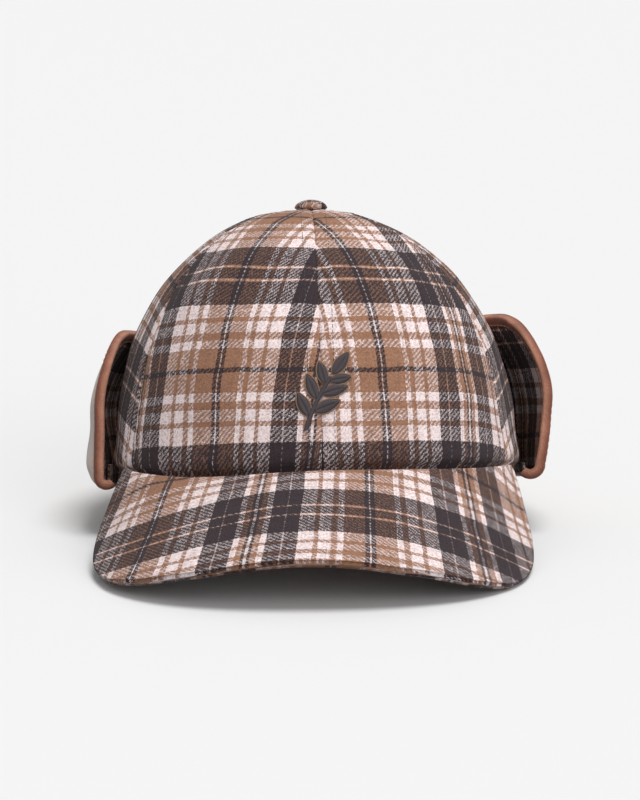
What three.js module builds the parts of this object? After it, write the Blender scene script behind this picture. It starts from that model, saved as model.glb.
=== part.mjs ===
// A six-panel baseball cap in plaid wool, with an earflap band turned up round its sides and back.
// Millimetres. The cap's own frame has z = 0 at the seam that joins brim and crown, the front at -Y.
// The whole cap is then tipped back, so that it stands on the brim's corners and on the fold at its back.
import * as THREE from 'three';

const { degToRad, lerp, smoothstep, clamp } = THREE.MathUtils;
const gap = 0.3; // between pieces that are sewn together

const crown = {
  halfWidth: 86.5, // ear to ear, above the flared rim
  halfLength: 98,
  height: 111.2,
  fullness: 2.2, // 2 is an ellipse, more is squarer
  flare: 3.6, // how far the rim spreads
  flareFade: 12, // height over which that dies away
  wall: 1.6,
  hem: 2.5, // how far the cloth reaches below the brim seam
  hole: 3.2, // radius left for the button's shank
  puff: 1.1, // how far a panel swells between its seams
  lean: 1.6, // the soft top stands a little to one side
};
// Where the soft crown stands proud of the plain form, or sinks in: places in degrees.
const softSpots = [
  { azimuth: -75, lift: 74, spread: 12, out: 0.8 },
  { azimuth: -100, lift: 55, spread: 20, out: -0.8 },
  { azimuth: 75, lift: 62, spread: 24, out: -1 },
];
// The six panels, going round from the front: where each one ends, in degrees.
const panels = [
  { name: 'crown_front_right', end: 65 },
  { name: 'crown_side_right', end: 122 },
  { name: 'crown_back_right', end: 180 },
  { name: 'crown_back_left', end: 238 },
  { name: 'crown_side_left', end: 295 },
  { name: 'crown_front_left', end: 360 },
];

const brim = {
  droop: 33, // degrees below the rim's plane, along the middle
  archRadius: 112, // across the brim, at the seam's ends
  archOpening: { left: 0.26, right: 0.12 }, // how much that grows with each mm ahead of them
  skew: 5, // how far the front edge is pushed to one side, from nothing at the seam's ends
  thickness: 3.4,
  edgeRound: 0.9,
  seamHalf: 93, // half the seam's length, measured round the arch
};
// The brim's outline laid flat, from its middle to its end: mm across, and ahead of the seam's middle.
const brimOutline = [
  { across: 0, ahead: 70 },
  { across: 36, ahead: 68 },
  { across: 67, ahead: 59 },
  { across: 90, ahead: 42 },
  { across: 102, ahead: 17 },
  { across: 104, ahead: -8 },
  { across: 100, ahead: -32 },
  { across: 95, ahead: -54 },
];

const flap = {
  frontAzimuth: 76, // degrees from the front to each front edge
  foldRadius: 1, // inside the fold along the rim
  legShare: 1 / 6, // the share of the fold's rows that is each of its straight legs
  backHang: 4, // how far the fold hangs below the rim
  press: 1.45, // how far the back fold is flattened by the cap's weight
  cloth: 1,
  lining: 1.1,
  backHeight: 54,
  backStandOff: 1.5, // bulge away from the crown
  topGap: 2, // between the top edge and the crown
  slant: 0.04, // how far the front edges lean back, as a share of the half length
  cornerStart: 0.6, // share of the height where the front edge starts to round
  cornerReach: 28, // mm from the front edge to the level top
  cornerShape: 2.4,
};
// The two ears of the flap: their height above the rim, how far their fold hangs below it, how far
// their side and their front edge stand away from the crown, and the fold's radius at the front edge.
const ears = {
  left: { height: 57.5, hang: 7.5, side: 7.3, front: 7.4, fold: 2.2 },
  right: { height: 64, hang: 3.8, side: 3.4, front: 16.5, fold: 3.2 },
};
const binding = { leg: 4.6, wall: 0.7, clearance: 0.36, lip: 1.1 };
const button = { radius: 7.1, height: 4.4, shank: 2.8, washer: 5, washerThickness: 0.8, domeSteps: 5 };

const grid = {
  panelColumns: 8, panelRows: 10, brimColumns: 32, flapColumns: 38, foldRows: 6, riseRows: 8, buttonSides: 20,
};

const cloth = () => new THREE.MeshStandardMaterial({ color: 0x8f7766, roughness: 0.95, metalness: 0 });
const liningCloth = () => new THREE.MeshStandardMaterial({ color: 0xb9aa9c, roughness: 0.9, metalness: 0 });
const leather = () => new THREE.MeshStandardMaterial({ color: 0xa8694c, roughness: 0.7, metalness: 0 });

// A closed solid from a function that gives the point at (column, row) on its front (0) and back (1) skin.
function shell(columns, rows, pointAt) {
  const across = columns + 1;
  const positions = [];
  for (const skin of [0, 1])
    for (let r = 0; r <= rows; r++)
      for (let c = 0; c < across; c++) positions.push(...pointAt(c, r, skin).toArray());
  const at = (c, r, skin) => (skin * (rows + 1) + r) * across + c;
  const faces = [];
  const quad = (a, b, c, d) => faces.push(a, b, c, a, c, d);
  for (let r = 0; r < rows; r++)
    for (let c = 0; c < columns; c++) {
      quad(at(c, r, 0), at(c + 1, r, 0), at(c + 1, r + 1, 0), at(c, r + 1, 0));
      quad(at(c, r, 1), at(c, r + 1, 1), at(c + 1, r + 1, 1), at(c + 1, r, 1));
    }
  for (let c = 0; c < columns; c++) {
    quad(at(c, 0, 1), at(c + 1, 0, 1), at(c + 1, 0, 0), at(c, 0, 0));
    quad(at(c, rows, 0), at(c + 1, rows, 0), at(c + 1, rows, 1), at(c, rows, 1));
  }
  for (let r = 0; r < rows; r++) {
    quad(at(0, r, 0), at(0, r + 1, 0), at(0, r + 1, 1), at(0, r, 1));
    quad(at(columns, r, 1), at(columns, r + 1, 1), at(columns, r + 1, 0), at(columns, r, 0));
  }
  return geometryOf(positions, faces);
}

function geometryOf(positions, faces) {
  const geometry = new THREE.BufferGeometry();
  geometry.setAttribute('position', new THREE.Float32BufferAttribute(positions, 3));
  geometry.setIndex(faces);
  geometry.computeVertexNormals();
  return geometry;
}

// The unit normal of a surface pointAt(a, b), from two small steps.
function normalOf(pointAt, a, b, stepA, stepB) {
  const alongA = pointAt(a + stepA, b).sub(pointAt(a - stepA, b));
  const alongB = pointAt(a, b + stepB).sub(pointAt(a, b - stepB));
  return alongA.cross(alongB).normalize();
}

// Crown: azimuth runs from the front (0) towards +X, lift from the rim (0) to the top (90 degrees).

const power = 2 / crown.fullness;
const riseAt = (lift) => crown.height * Math.sin(lift) ** power;
const liftAt = (rise) => Math.asin(clamp(rise / crown.height, 0, 1) ** (1 / power));

function crownPlain(azimuth, lift) {
  const level = Math.max(lift, 0);
  const rise = riseAt(level);
  const narrowing = Math.cos(level) ** power;
  const flare = crown.flare * Math.exp(-rise / crown.flareFade);
  return new THREE.Vector3(
    (crown.halfWidth * narrowing + flare) * Math.sin(azimuth) - crown.lean * (rise / crown.height) ** 2,
    -(crown.halfLength * narrowing + flare) * Math.cos(azimuth),
    rise,
  );
}

function softness(azimuth, lift) {
  const place = (((azimuth * 180) / Math.PI) % 360 + 360) % 360;
  const index = panels.findIndex((panel) => place < panel.end);
  const start = index > 0 ? panels[index - 1].end : 0;
  const swell = Math.sin((Math.PI * (place - start)) / (panels[index].end - start)) ** 0.8;
  const fade = smoothstep(crown.halfWidth * Math.cos(lift) ** power, 9, 26);
  let out = crown.puff * swell * smoothstep(riseAt(Math.max(lift, 0)), 4, 30) * Math.cos(lift) ** 0.7;
  for (const spot of softSpots) {
    const away = azimuth - degToRad(spot.azimuth);
    const turn = Math.atan2(Math.sin(away), Math.cos(away));
    const side = turn * Math.cos(lift);
    const distance = Math.hypot(side, lift - degToRad(spot.lift)) / degToRad(spot.spread);
    out += spot.out * Math.exp(-distance * distance);
  }
  return out * fade;
}

function crownPoint(azimuth, lift, inset = 0) {
  const outward = normalOf(crownPlain, azimuth, Math.max(lift, 0.02), 1e-3, 1e-3);
  return crownPlain(azimuth, lift).addScaledVector(outward, softness(azimuth, lift) - inset);
}

// The crown's rim, straight down below the seam.
function rimPoint(azimuth, drop, inset = 0) {
  const outward = crownPlain(azimuth, 0).sub(crownPlain(azimuth, 0.3)).setZ(0).normalize();
  return crownPlain(azimuth, 0).addScaledVector(outward, -inset).setZ(-drop);
}

// Heights of the crown's lowest rows, close together where the rim spreads.
const rimRises = [-crown.hem, 0, 5, 13, 27];

function wallPoint(azimuth, rise, inset) {
  return rise <= 0 ? rimPoint(azimuth, -rise, inset) : crownPoint(azimuth, liftAt(rise), inset);
}

function crownPanel(index) {
  const from = degToRad(index > 0 ? panels[index - 1].end : 0);
  const width = degToRad(panels[index].end) - from;
  const columns = grid.panelColumns;
  const lifts = rimRises.map((rise) => liftAt(Math.max(rise, 0)));
  const firstLift = lifts.at(-1);
  const topLift = Math.acos((crown.hole / crown.halfWidth) ** (1 / power));
  for (let r = 1; r <= grid.panelRows; r++)
    lifts.push(lerp(firstLift, topLift, Math.sin((degToRad(90) * r) / grid.panelRows)));
  const pointAt = (c, r, skin) => {
    const inset = skin * crown.wall;
    const girth = crown.halfWidth * Math.cos(lifts[r]) ** power * width;
    const share = lerp(gap / 2 / girth, 1 - gap / 2 / girth, c / columns);
    const azimuth = from + width * share;
    if (r < rimRises.length) return wallPoint(azimuth, rimRises[r], inset);
    return crownPoint(azimuth, lifts[r], inset);
  };
  return new THREE.Mesh(shell(columns, lifts.length - 1, pointAt), cloth());
}

function topButton() {
  const seat = crown.height + gap;
  const below = crown.height - crown.wall - 2 * gap;
  const profile = [
    [0, below - button.washerThickness], [button.washer, below - button.washerThickness],
    [button.washer, below], [button.shank, below], [button.shank, seat], [button.radius - 0.4, seat],
  ];
  for (let i = 0; i < button.domeSteps; i++) {
    const turn = (Math.PI / 2) * (i / button.domeSteps);
    profile.push([button.radius * Math.cos(turn), seat + 0.7 + (button.height - 0.7) * Math.sin(turn)]);
  }
  profile.push([0, seat + button.height]);
  const points = profile.map(([radius, height]) => new THREE.Vector2(radius, height));
  const turned = new THREE.LatheGeometry(points, grid.buttonSides).rotateX(Math.PI / 2);
  const mesh = new THREE.Mesh(turned, cloth());
  mesh.position.x = -crown.lean;
  return mesh;
}

// Brim: part of a cone, given by its flat coordinates across and ahead, and the depth below its top face.

function brimPoint(across, ahead, depth) {
  const droop = degToRad(brim.droop);
  const opening = across < 0 ? brim.archOpening.left : brim.archOpening.right;
  const radius = brim.archRadius + opening * Math.max(ahead - brimOutline.at(-1).ahead, 0);
  const turn = across / radius;
  const forwardShare = (ahead - brimOutline.at(-1).ahead) / (brimOutline[0].ahead - brimOutline.at(-1).ahead);
  const pushed = brim.skew * Math.max(forwardShare, 0);
  const forward = new THREE.Vector3(0, -Math.cos(droop), -Math.sin(droop));
  const up = new THREE.Vector3(0, -Math.sin(droop), Math.cos(droop));
  const side = new THREE.Vector3(1, 0, 0);
  return crownPlain(0, 0)
    .addScaledVector(forward, ahead)
    .addScaledVector(side, (radius - depth) * Math.sin(turn) - pushed)
    .addScaledVector(up, (radius - depth) * Math.cos(turn) - radius);
}

// How far ahead the brim starts, where its face at this depth meets the crown's rim.
function seamAhead(across, depth) {
  const wide = crown.halfWidth + crown.flare + gap * 1.7;
  const long = crown.halfLength + crown.flare + gap * 1.7;
  let [inside, outside] = [-95, 25];
  for (let i = 0; i < 30; i++) {
    const middle = (inside + outside) / 2;
    const point = brimPoint(across, middle, depth);
    if ((point.x / wide) ** 2 + (point.y / long) ** 2 < 1) inside = middle;
    else outside = middle;
  }
  return outside;
}

const brimEdge = new THREE.CatmullRomCurve3(
  [...brimOutline.slice(1).reverse().map((row) => ({ ...row, across: -row.across })), ...brimOutline]
    .map((row) => new THREE.Vector3(row.across, row.ahead, 0)),
);

function brimSolid() {
  const rows = [0, 0.15, 0.35, 0.55, 0.75, 0.9, 0.97, 1];
  const { brimColumns: columns } = grid;
  const pointAt = (c, r, skin) => {
    const outer = brimEdge.getPoint(1 - c / columns);
    const across = brim.seamHalf * (1 - (2 * c) / columns);
    const round = r === rows.length - 1 ? brim.edgeRound : 0;
    const depth = skin ? brim.thickness - round : round;
    const start = seamAhead(across, depth);
    const point = brimPoint(lerp(across, outer.x, rows[r]), lerp(start, outer.y, rows[r]), depth);
    // Near the seam the brim is drawn up or down to the rim.
    const drawn = brimPoint(across, seamAhead(across, 0), 0).z + gap;
    point.z -= drawn * (1 - rows[r]) ** 2;
    return point;
  };
  return new THREE.Mesh(shell(columns, rows.length - 1, pointAt), cloth());
}

// Earflap: along runs from -1 (left front edge) round the back to 1 (right front edge). Climb runs from
// -1 where the cloth leaves the rim, through 0 where the fold is passed, to 1 at the flap's full height.

const rimLength = degToRad(180 - flap.frontAzimuth) * (crown.halfWidth + crown.halfLength) / 2;
const earShare = (along) => smoothstep(Math.abs(along), 0.3, 0.75);
const earOf = (along) => (along < 0 ? ears.left : ears.right);
const heightAt = (along) => lerp(flap.backHeight, earOf(along).height, earShare(along));
const hangAt = (along) => lerp(flap.backHang, earOf(along).hang, earShare(along));
const foldAt = (along) => lerp(flap.foldRadius, earOf(along).fold, smoothstep(Math.abs(along), 0.7, 1));

// The sides bulge like a barrel, and the front edges peel away from the crown.
function standOffAt(along, climb) {
  const ear = earOf(along);
  const barrel = lerp(flap.backStandOff, ear.side, smoothstep(Math.abs(along), 0.35, 0.75));
  const bulge = barrel * Math.sin(Math.PI * Math.min(climb, 1)) ** 1.2;
  const rising = Math.sin(Math.PI * Math.min(climb / 1.5, 0.5));
  const peel = ear.front * rising * (1 - 0.3 * smoothstep(climb, 0.2, 1.05));
  return lerp(bulge, peel, smoothstep(Math.abs(along), 0.7, 1));
}

// The face of the flap that looks at the crown.
function flapFace(along, climb) {
  const azimuth = Math.PI - along * degToRad(180 - flap.frontAzimuth);
  const radius = foldAt(along);
  let out = 0;
  let rise = 0;
  if (climb < 0) {
    const down = clamp(Math.min(-climb, 1 + climb) / flap.legShare, 0, 1);
    const turn = Math.PI * (1 + clamp((1 + climb - flap.legShare) / (1 - 2 * flap.legShare), 0, 1));
    out = gap + flap.cloth + radius * (1 + Math.cos(turn));
    rise = radius * Math.sin(turn) - (hangAt(along) - radius) * down;
  } else {
    rise = climb * heightAt(along);
    out = lerp(gap + flap.cloth + 2 * flap.foldRadius, flap.topGap, smoothstep(climb, 0, 1))
      + 2 * (radius - flap.foldRadius) * (1 - smoothstep(climb, 0, 0.4)) + standOffAt(along, climb);
  }
  const wall = crownPlain(azimuth, liftAt(Math.max(rise, 0)));
  const outward = new THREE.Vector3(
    Math.sin(azimuth) / crown.halfWidth, -Math.cos(azimuth) / crown.halfLength, 0).normalize();
  return wall.addScaledVector(outward, out + crown.puff * smoothstep(rise, 4, 30)).setZ(rise);
}

function flapNormal(along, climb) {
  const [step, reach] = [1e-3, 2e-3];
  const safe = climb < 0 ? Math.min(climb, -reach) : Math.max(climb, reach);
  return normalOf(flapFace, along, Math.min(safe, 1 - reach), step, reach).negate();
}

function flapPoint(along, climb, depth) {
  return flapFace(along, climb).addScaledVector(flapNormal(along, climb), depth);
}

// The share of the full height that the flap reaches, less where its front corners are rounded.
function topShare(along) {
  const fromFront = clamp(((1 - Math.abs(along)) * rimLength) / flap.cornerReach, 0, 1);
  const rounded = (1 - (1 - fromFront) ** flap.cornerShape) ** (1 / flap.cornerShape);
  return lerp(flap.cornerStart, 1, rounded);
}

// Columns close up towards the front edges, where the corners are round.
const columnAlong = (c) => Math.sin(((2 * c) / grid.flapColumns - 1) * degToRad(90));
const leanBack = (along, climb) => along * (1 - flap.slant * Math.max(climb, 0));

// One layer of the flap. It leaves out the first rows of the fold, where it is only turned in.
function flapLayer(nearDepth, farDepth, skippedRows, material) {
  const { flapColumns: columns, foldRows, riseRows } = grid;
  const pointAt = (c, r, skin) => {
    const along = columnAlong(columns - c);
    const row = r + skippedRows - foldRows;
    const climb = row < 0 ? row / foldRows : (topShare(along) * row) / riseRows;
    return flapPoint(leanBack(along, climb), climb, skin ? nearDepth : farDepth);
  };
  return new THREE.Mesh(shell(columns, foldRows - skippedRows + riseRows, pointAt), material);
}

const layers = {
  clothFar: flap.cloth,
  liningNear: flap.cloth + gap,
  liningFar: flap.cloth + gap + flap.lining,
};

// The free edge: up the left front edge, round the top, and down the right front edge.
function edgePath() {
  const rising = [];
  for (let r = 2; r < grid.foldRows; r++) rising.push(r / grid.foldRows - 1);
  for (let r = 0; r < grid.riseRows; r++) rising.push((flap.cornerStart * r) / grid.riseRows);
  const front = (side) => rising.map((climb) => ({ along: leanBack(side, climb), climb }));
  const top = [];
  for (let c = 0; c <= grid.flapColumns; c++) {
    const climb = topShare(columnAlong(c));
    top.push({ along: leanBack(columnAlong(c), climb), climb });
  }
  return [...front(-1), ...top, ...front(1).reverse()];
}

// The way into the flap from its edge, as steps of along and climb for each mm.
function stepInwards({ along, climb }, inwards) {
  const step = 1e-3;
  const low = Math.min(climb, 1 - step);
  const a = flapFace(along + step, low).sub(flapFace(along - step, low)).divideScalar(2 * step);
  const b = flapFace(along, low + step).sub(flapFace(along, low - step)).divideScalar(2 * step);
  const [aa, ab, bb] = [a.dot(a), a.dot(b), b.dot(b)];
  const [aw, bw] = [a.dot(inwards), b.dot(inwards)];
  const scale = aa * bb - ab * ab;
  return { along: (aw * bb - bw * ab) / scale, climb: (bw * aa - aw * ab) / scale };
}

function bindingChannel() {
  const half = layers.liningFar / 2;
  const slot = half + binding.clearance;
  const outer = slot + binding.wall;
  const { leg, lip, clearance } = binding;
  // Its section: mm into the flap from the edge, and mm out from the flap's middle.
  const section = [
    [leg, outer], [leg / 2, outer], [0, outer], [-lip * 0.75, outer * 0.7], [-lip, 0],
    [-lip * 0.75, -outer * 0.7], [0, -outer], [leg / 2, -outer], [leg, -outer],
    [leg, -slot], [leg / 2, -slot], [-clearance, -slot], [-clearance, slot], [leg / 2, slot], [leg, slot],
  ];
  const path = edgePath();
  const centres = path.map(({ along, climb }) => flapPoint(along, climb, half));
  const positions = [];
  path.forEach((place, i) => {
    const before = centres[Math.max(i - 1, 0)];
    const after = centres[Math.min(i + 1, path.length - 1)];
    const tangent = after.clone().sub(before).normalize();
    const normal = flapNormal(place.along, place.climb);
    const inwards = new THREE.Vector3().crossVectors(tangent, normal).normalize().negate();
    const step = stepInwards(place, inwards);
    for (const [into, out] of section) {
      const point = into > 0
        ? flapPoint(place.along + step.along * into, place.climb + step.climb * into, half + out)
        : centres[i].clone().addScaledVector(inwards, into).addScaledVector(normal, out);
      positions.push(...point.toArray());
    }
  });
  const sides = section.length;
  const faces = [];
  for (let i = 0; i + 1 < path.length; i++)
    for (let k = 0; k < sides; k++) {
      const [a, b] = [i * sides + k, i * sides + ((k + 1) % sides)];
      faces.push(a, b, b + sides, a, b + sides, a + sides);
    }
  const end = THREE.ShapeUtils.triangulateShape(section.map(([x, y]) => new THREE.Vector2(x, y)), []);
  const last = (path.length - 1) * sides;
  for (const [a, b, c] of end) faces.push(a, c, b, last + a, last + b, last + c);
  return new THREE.Mesh(geometryOf(positions, faces), leather());
}

const cap = new THREE.Group();
const pieces = {};
function add(name, mesh) {
  mesh.name = name;
  cap.add(mesh);
  pieces[name] = mesh;
}
panels.forEach((panel, index) => add(panel.name, crownPanel(index)));
add('button', topButton());
add('brim', brimSolid());
add('earflap_cloth', flapLayer(0, layers.clothFar, 0, cloth()));
add('earflap_lining', flapLayer(layers.liningNear, layers.liningFar, 2, liningCloth()));
add('earflap_binding', bindingChannel());

// Tipped back until the brim's corners touch the ground and the fold at the back is pressed into it.
const lowest = (mesh) => new THREE.Box3().setFromObject(mesh, true).min.z;
let [least, most] = [0, 25];
for (let i = 0; i < 24; i++) {
  cap.rotation.x = -degToRad((least + most) / 2);
  cap.updateMatrixWorld(true);
  if (lowest(pieces.brim) > lowest(pieces.earflap_lining) + flap.press) most = (least + most) / 2;
  else least = (least + most) / 2;
}
const box = new THREE.Box3().setFromObject(cap, true);
cap.position.set(-(box.min.x + box.max.x) / 2, -(box.min.y + box.max.y) / 2, -lowest(pieces.brim));
cap.updateMatrixWorld(true);

// A vertex of a pressed layer stays above the ground by what lies below it.
function keepAbove(position, first, last, level) {
  for (let i = first; i < last; i++) position.setZ(i, Math.max(position.getZ(i), level));
}
for (const mesh of Object.values(pieces)) {
  mesh.geometry.applyMatrix4(mesh.matrixWorld);
  mesh.position.set(0, 0, 0);
}
cap.position.set(0, 0, 0);
cap.rotation.set(0, 0, 0);
for (const [mesh, far, near] of [
  [pieces.earflap_lining, layers.liningFar, layers.liningNear],
  [pieces.earflap_cloth, layers.clothFar, 0],
]) {
  const position = mesh.geometry.getAttribute('position');
  keepAbove(position, 0, position.count / 2, layers.liningFar - far);
  keepAbove(position, position.count / 2, position.count, layers.liningFar - near);
}

export default cap;
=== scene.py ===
import math

import bpy
import numpy as np
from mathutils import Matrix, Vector


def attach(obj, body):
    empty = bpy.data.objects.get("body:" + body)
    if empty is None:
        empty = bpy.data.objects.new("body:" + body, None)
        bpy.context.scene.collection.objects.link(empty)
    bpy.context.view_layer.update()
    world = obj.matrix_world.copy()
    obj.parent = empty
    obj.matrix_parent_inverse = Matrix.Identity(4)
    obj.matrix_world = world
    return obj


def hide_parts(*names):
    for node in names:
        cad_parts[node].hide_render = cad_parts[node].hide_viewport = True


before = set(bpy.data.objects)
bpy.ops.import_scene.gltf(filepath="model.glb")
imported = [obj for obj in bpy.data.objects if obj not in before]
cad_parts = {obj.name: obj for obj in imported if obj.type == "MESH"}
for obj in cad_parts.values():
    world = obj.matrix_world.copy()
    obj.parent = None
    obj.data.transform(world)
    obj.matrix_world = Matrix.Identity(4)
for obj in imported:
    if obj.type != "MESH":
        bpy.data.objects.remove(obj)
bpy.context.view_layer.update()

# Sizes are in millimetres in the cap's own frame: z = 0 at the seam of brim and crown, the front at -Y.
# toWorld tips the cap back and sets it down, as the frame has it, and gives metres.
pose = {"tipBack": 11.785008013248444,
        "shift": (-2.310596466064453, 28.514946913783675, 26.035620882881844)}
gap = 0.3
noise = {"waves": 14, "sizes": (0.8, 2.2), "phases": (0, 7)}
seeds = {"crown": 3, "pucker": 11, "brim": 21, "flap": 31, "liningWay": 41, "liningShare": 42, "lining": 43,
         "leather": 51, "stitches": 5, "seams": 9, "leaves": 4, "outlines": 6}
edgeRings = (0.2, 0.5, 0.8)


def toWorld(points):
    t = math.radians(pose["tipBack"])
    x, y, z = points[..., 0], points[..., 1], points[..., 2]
    turned = np.stack([x, y * math.cos(t) + z * math.sin(t), z * math.cos(t) - y * math.sin(t)], -1)
    return (turned + np.array(pose["shift"])) / 1000


def smooth(x, low, high):
    t = np.clip((x - low) / (high - low), 0, 1)
    return t * t * (3 - 2 * t)


def mix(a, b, t):
    return a + (b - a) * t


def roundedIn(t):
    # falls from 1 at an edge to 0 where the flat part starts, as a quarter of a circle does
    return 1 - np.sqrt(np.clip(1 - (1 - np.clip(t, 0, 1)) ** 2, 0, 1))


def softNoise(points, size, seed):
    # smooth seeded unevenness from about -1 to 1, with bumps of about this size in mm
    rng = np.random.default_rng(seed)
    total = np.zeros(points.shape[:-1])
    for _ in range(noise["waves"]):
        direction = rng.normal(size=3)
        direction *= 2 * math.pi / (np.linalg.norm(direction) * size * rng.uniform(*noise["sizes"]))
        total += np.sin(points @ direction + rng.uniform(*noise["phases"]))
    return total / math.sqrt(noise["waves"])


def unit(v):
    return v / np.maximum(np.linalg.norm(v, axis=-1, keepdims=True), 1e-12)


# meshes: points in metres, cloth coordinates in mm
def settle(name, mesh, replaced=None):
    piece = bpy.data.objects.new(name, mesh)
    bpy.context.scene.collection.objects.link(piece)
    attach(piece, "root")
    if replaced:
        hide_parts(replaced)
    return piece


def makePiece(name, points, faces, uvs, material, node):
    mesh = bpy.data.meshes.new(name)
    mesh.from_pydata([tuple(p) for p in points], [], faces)
    mesh.validate()
    layer = mesh.uv_layers.new(name="cloth")
    index = np.empty(len(mesh.loops), dtype=np.int32)
    mesh.loops.foreach_get("vertex_index", index)
    layer.data.foreach_set("uv", (uvs[index] / 1000).astype(np.float32).ravel())
    mesh.polygons.foreach_set("use_smooth", [True] * len(mesh.polygons))
    mesh.materials.append(material)
    return settle(name, mesh, node)


def skinFaces(rows, columns, start=0, flip=False, closed=False):
    # the quads of a grid of points; a closed one joins its last column to its first
    width = columns if closed else columns + 1
    faces = []
    for r in range(rows):
        for c in range(columns):
            a, b = start + r * width + c, start + r * width + (c + 1) % width
            quad = (a, b, b + width, a + width)
            faces.append(quad[::-1] if flip else quad)
    return faces


def closedShell(name, outer, inner, uv, material, node, roundness=0.35):
    # two grids of one size, whose borders are joined by a rounded edge
    rows, columns = outer.shape[0] - 1, outer.shape[1] - 1
    count = (rows + 1) * (columns + 1)
    faces = skinFaces(rows, columns) + skinFaces(rows, columns, count, flip=True)
    border = [(0, c) for c in range(columns)] + [(r, columns) for r in range(rows)]
    border += [(rows, c) for c in range(columns, 0, -1)] + [(r, 0) for r in range(rows, 0, -1)]
    atRow, atColumn = np.array(border).T
    a, b = outer[atRow, atColumn], inner[atRow, atColumn]
    away = unit(a - outer[np.clip(atRow, 1, rows - 1), np.clip(atColumn, 1, columns - 1)])
    thick = np.linalg.norm(a - b, axis=-1, keepdims=True)
    points = [outer.reshape(-1, 3), inner.reshape(-1, 3)]
    uvs = [uv.reshape(-1, 2), uv.reshape(-1, 2)]
    for share in edgeRings:
        points.append(mix(a, b, share) + away * thick * roundness * math.sin(math.pi * share))
        uvs.append(uv[atRow, atColumn])
    n, flat = len(border), atRow * (columns + 1) + atColumn
    loops = [flat] + [2 * count + k * n + np.arange(n) for k in range(len(edgeRings))] + [count + flat]
    for near, far in zip(loops[:-1], loops[1:]):
        for i in range(n):
            j = (i + 1) % n
            faces.append((int(near[j]), int(near[i]), int(far[i]), int(far[j])))
    return makePiece(name, np.concatenate(points), faces, np.concatenate(uvs), material, node)


print("frame loaded")

# the cap's plain forms, as in the frame
crown = {"halfWidth": 86.5, "halfLength": 98, "height": 111.2, "fullness": 2.2, "flare": 3.6, "flareFade": 12,
         "wall": 1.6, "hem": 2.5, "hole": 3.2, "lean": 1.6, "puff": 1.1, "puffRise": (4, 30),
         "puffAcross": 0.8, "puffUp": 0.7, "topFade": (9, 26)}
softSpots = [{"azimuth": -75, "lift": 74, "spread": 12, "out": 0.8},
             {"azimuth": -100, "lift": 55, "spread": 20, "out": -0.8},
             {"azimuth": 75, "lift": 62, "spread": 24, "out": -1}]
panelEnds = [0, 65, 122, 180, 238, 295, 360]
power = 2 / crown["fullness"]


def riseAt(lift):
    return crown["height"] * np.sin(np.maximum(lift, 0)) ** power


def liftAt(rise):
    return np.arcsin(np.clip(rise / crown["height"], 0, 1) ** (1 / power))


def radiusAt(lift):
    return crown["halfWidth"] * np.cos(lift) ** power


def crownPlain(azimuth, lift):
    level = np.maximum(lift, 0)
    rise = riseAt(level)
    narrowing = np.cos(level) ** power
    flare = crown["flare"] * np.exp(-rise / crown["flareFade"])
    leaning = crown["lean"] * (rise / crown["height"]) ** 2
    return np.stack(np.broadcast_arrays(
        (crown["halfWidth"] * narrowing + flare) * np.sin(azimuth) - leaning,
        -(crown["halfLength"] * narrowing + flare) * np.cos(azimuth),
        rise), -1)


def softness(azimuth, lift):
    # how far the soft cloth stands out: between the seams, and at single spots
    place = np.degrees(azimuth) % 360
    ends = np.array(panelEnds)
    index = np.clip(np.searchsorted(ends, place, side="right") - 1, 0, len(ends) - 2)
    start, end = ends[index], ends[index + 1]
    swell = np.sin(np.pi * (place - start) / (end - start)).clip(0) ** crown["puffAcross"]
    out = crown["puff"] * swell * smooth(riseAt(lift), *crown["puffRise"]) * np.cos(lift) ** crown["puffUp"]
    for spot in softSpots:
        away = azimuth - math.radians(spot["azimuth"])
        turn = np.arctan2(np.sin(away), np.cos(away)) * np.cos(lift)
        far = np.hypot(turn, lift - math.radians(spot["lift"])) / math.radians(spot["spread"])
        out = out + spot["out"] * np.exp(-far * far)
    return out * smooth(radiusAt(lift), *crown["topFade"])


def crownNormal(azimuth, lift, step=1e-3, lowest=0.02):
    lift = np.maximum(lift, lowest)
    a = crownPlain(azimuth + step, lift) - crownPlain(azimuth - step, lift)
    b = crownPlain(azimuth, lift + step) - crownPlain(azimuth, lift - step)
    return unit(np.cross(a, b))


def crownPoint(azimuth, lift, inset):
    out = softness(azimuth, lift) - inset
    return crownPlain(azimuth, lift) + crownNormal(azimuth, lift) * out[..., None]


def rimPoint(azimuth, drop, inset, probe=0.3):
    # a point of the hem, straight below the rim
    rim = crownPlain(azimuth, 0 * azimuth)
    out = rim - crownPlain(azimuth, 0 * azimuth + probe)
    out[..., 2] = 0
    point = rim - unit(out) * inset[..., None]
    point[..., 2] = -drop
    return point


# crown panels
crownLook = {"columns": 56, "rows": 84, "evenness": 0.45, "hemMiddle": -1.2,
             "lowRises": [(0, 12, 12), (13.5, 27, 8)], "rollWidth": 2.4, "rollDepth": 1.0, "innerRoll": 0.25,
             "hemRoll": 6.2, "hemDepth": 4.5,
             "hemStart": 0.5, "hemWall": 0.9, "hemFront": (-0.2, 0.2), "pucker": 0.16, "puckerSize": 5,
             "puckerAt": 3, "wrinkle": 0.45, "wrinkleSize": 26, "seamCalm": (0, 8), "rimCalm": (1, 14),
             "topCalm": (8, 20), "sag": 3.1, "sagAt": -58, "sagWidth": (30, 42), "sagFront": (-0.05, 0.25),
             "sagRise": (-1, 16), "bowReach": 40}
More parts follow.
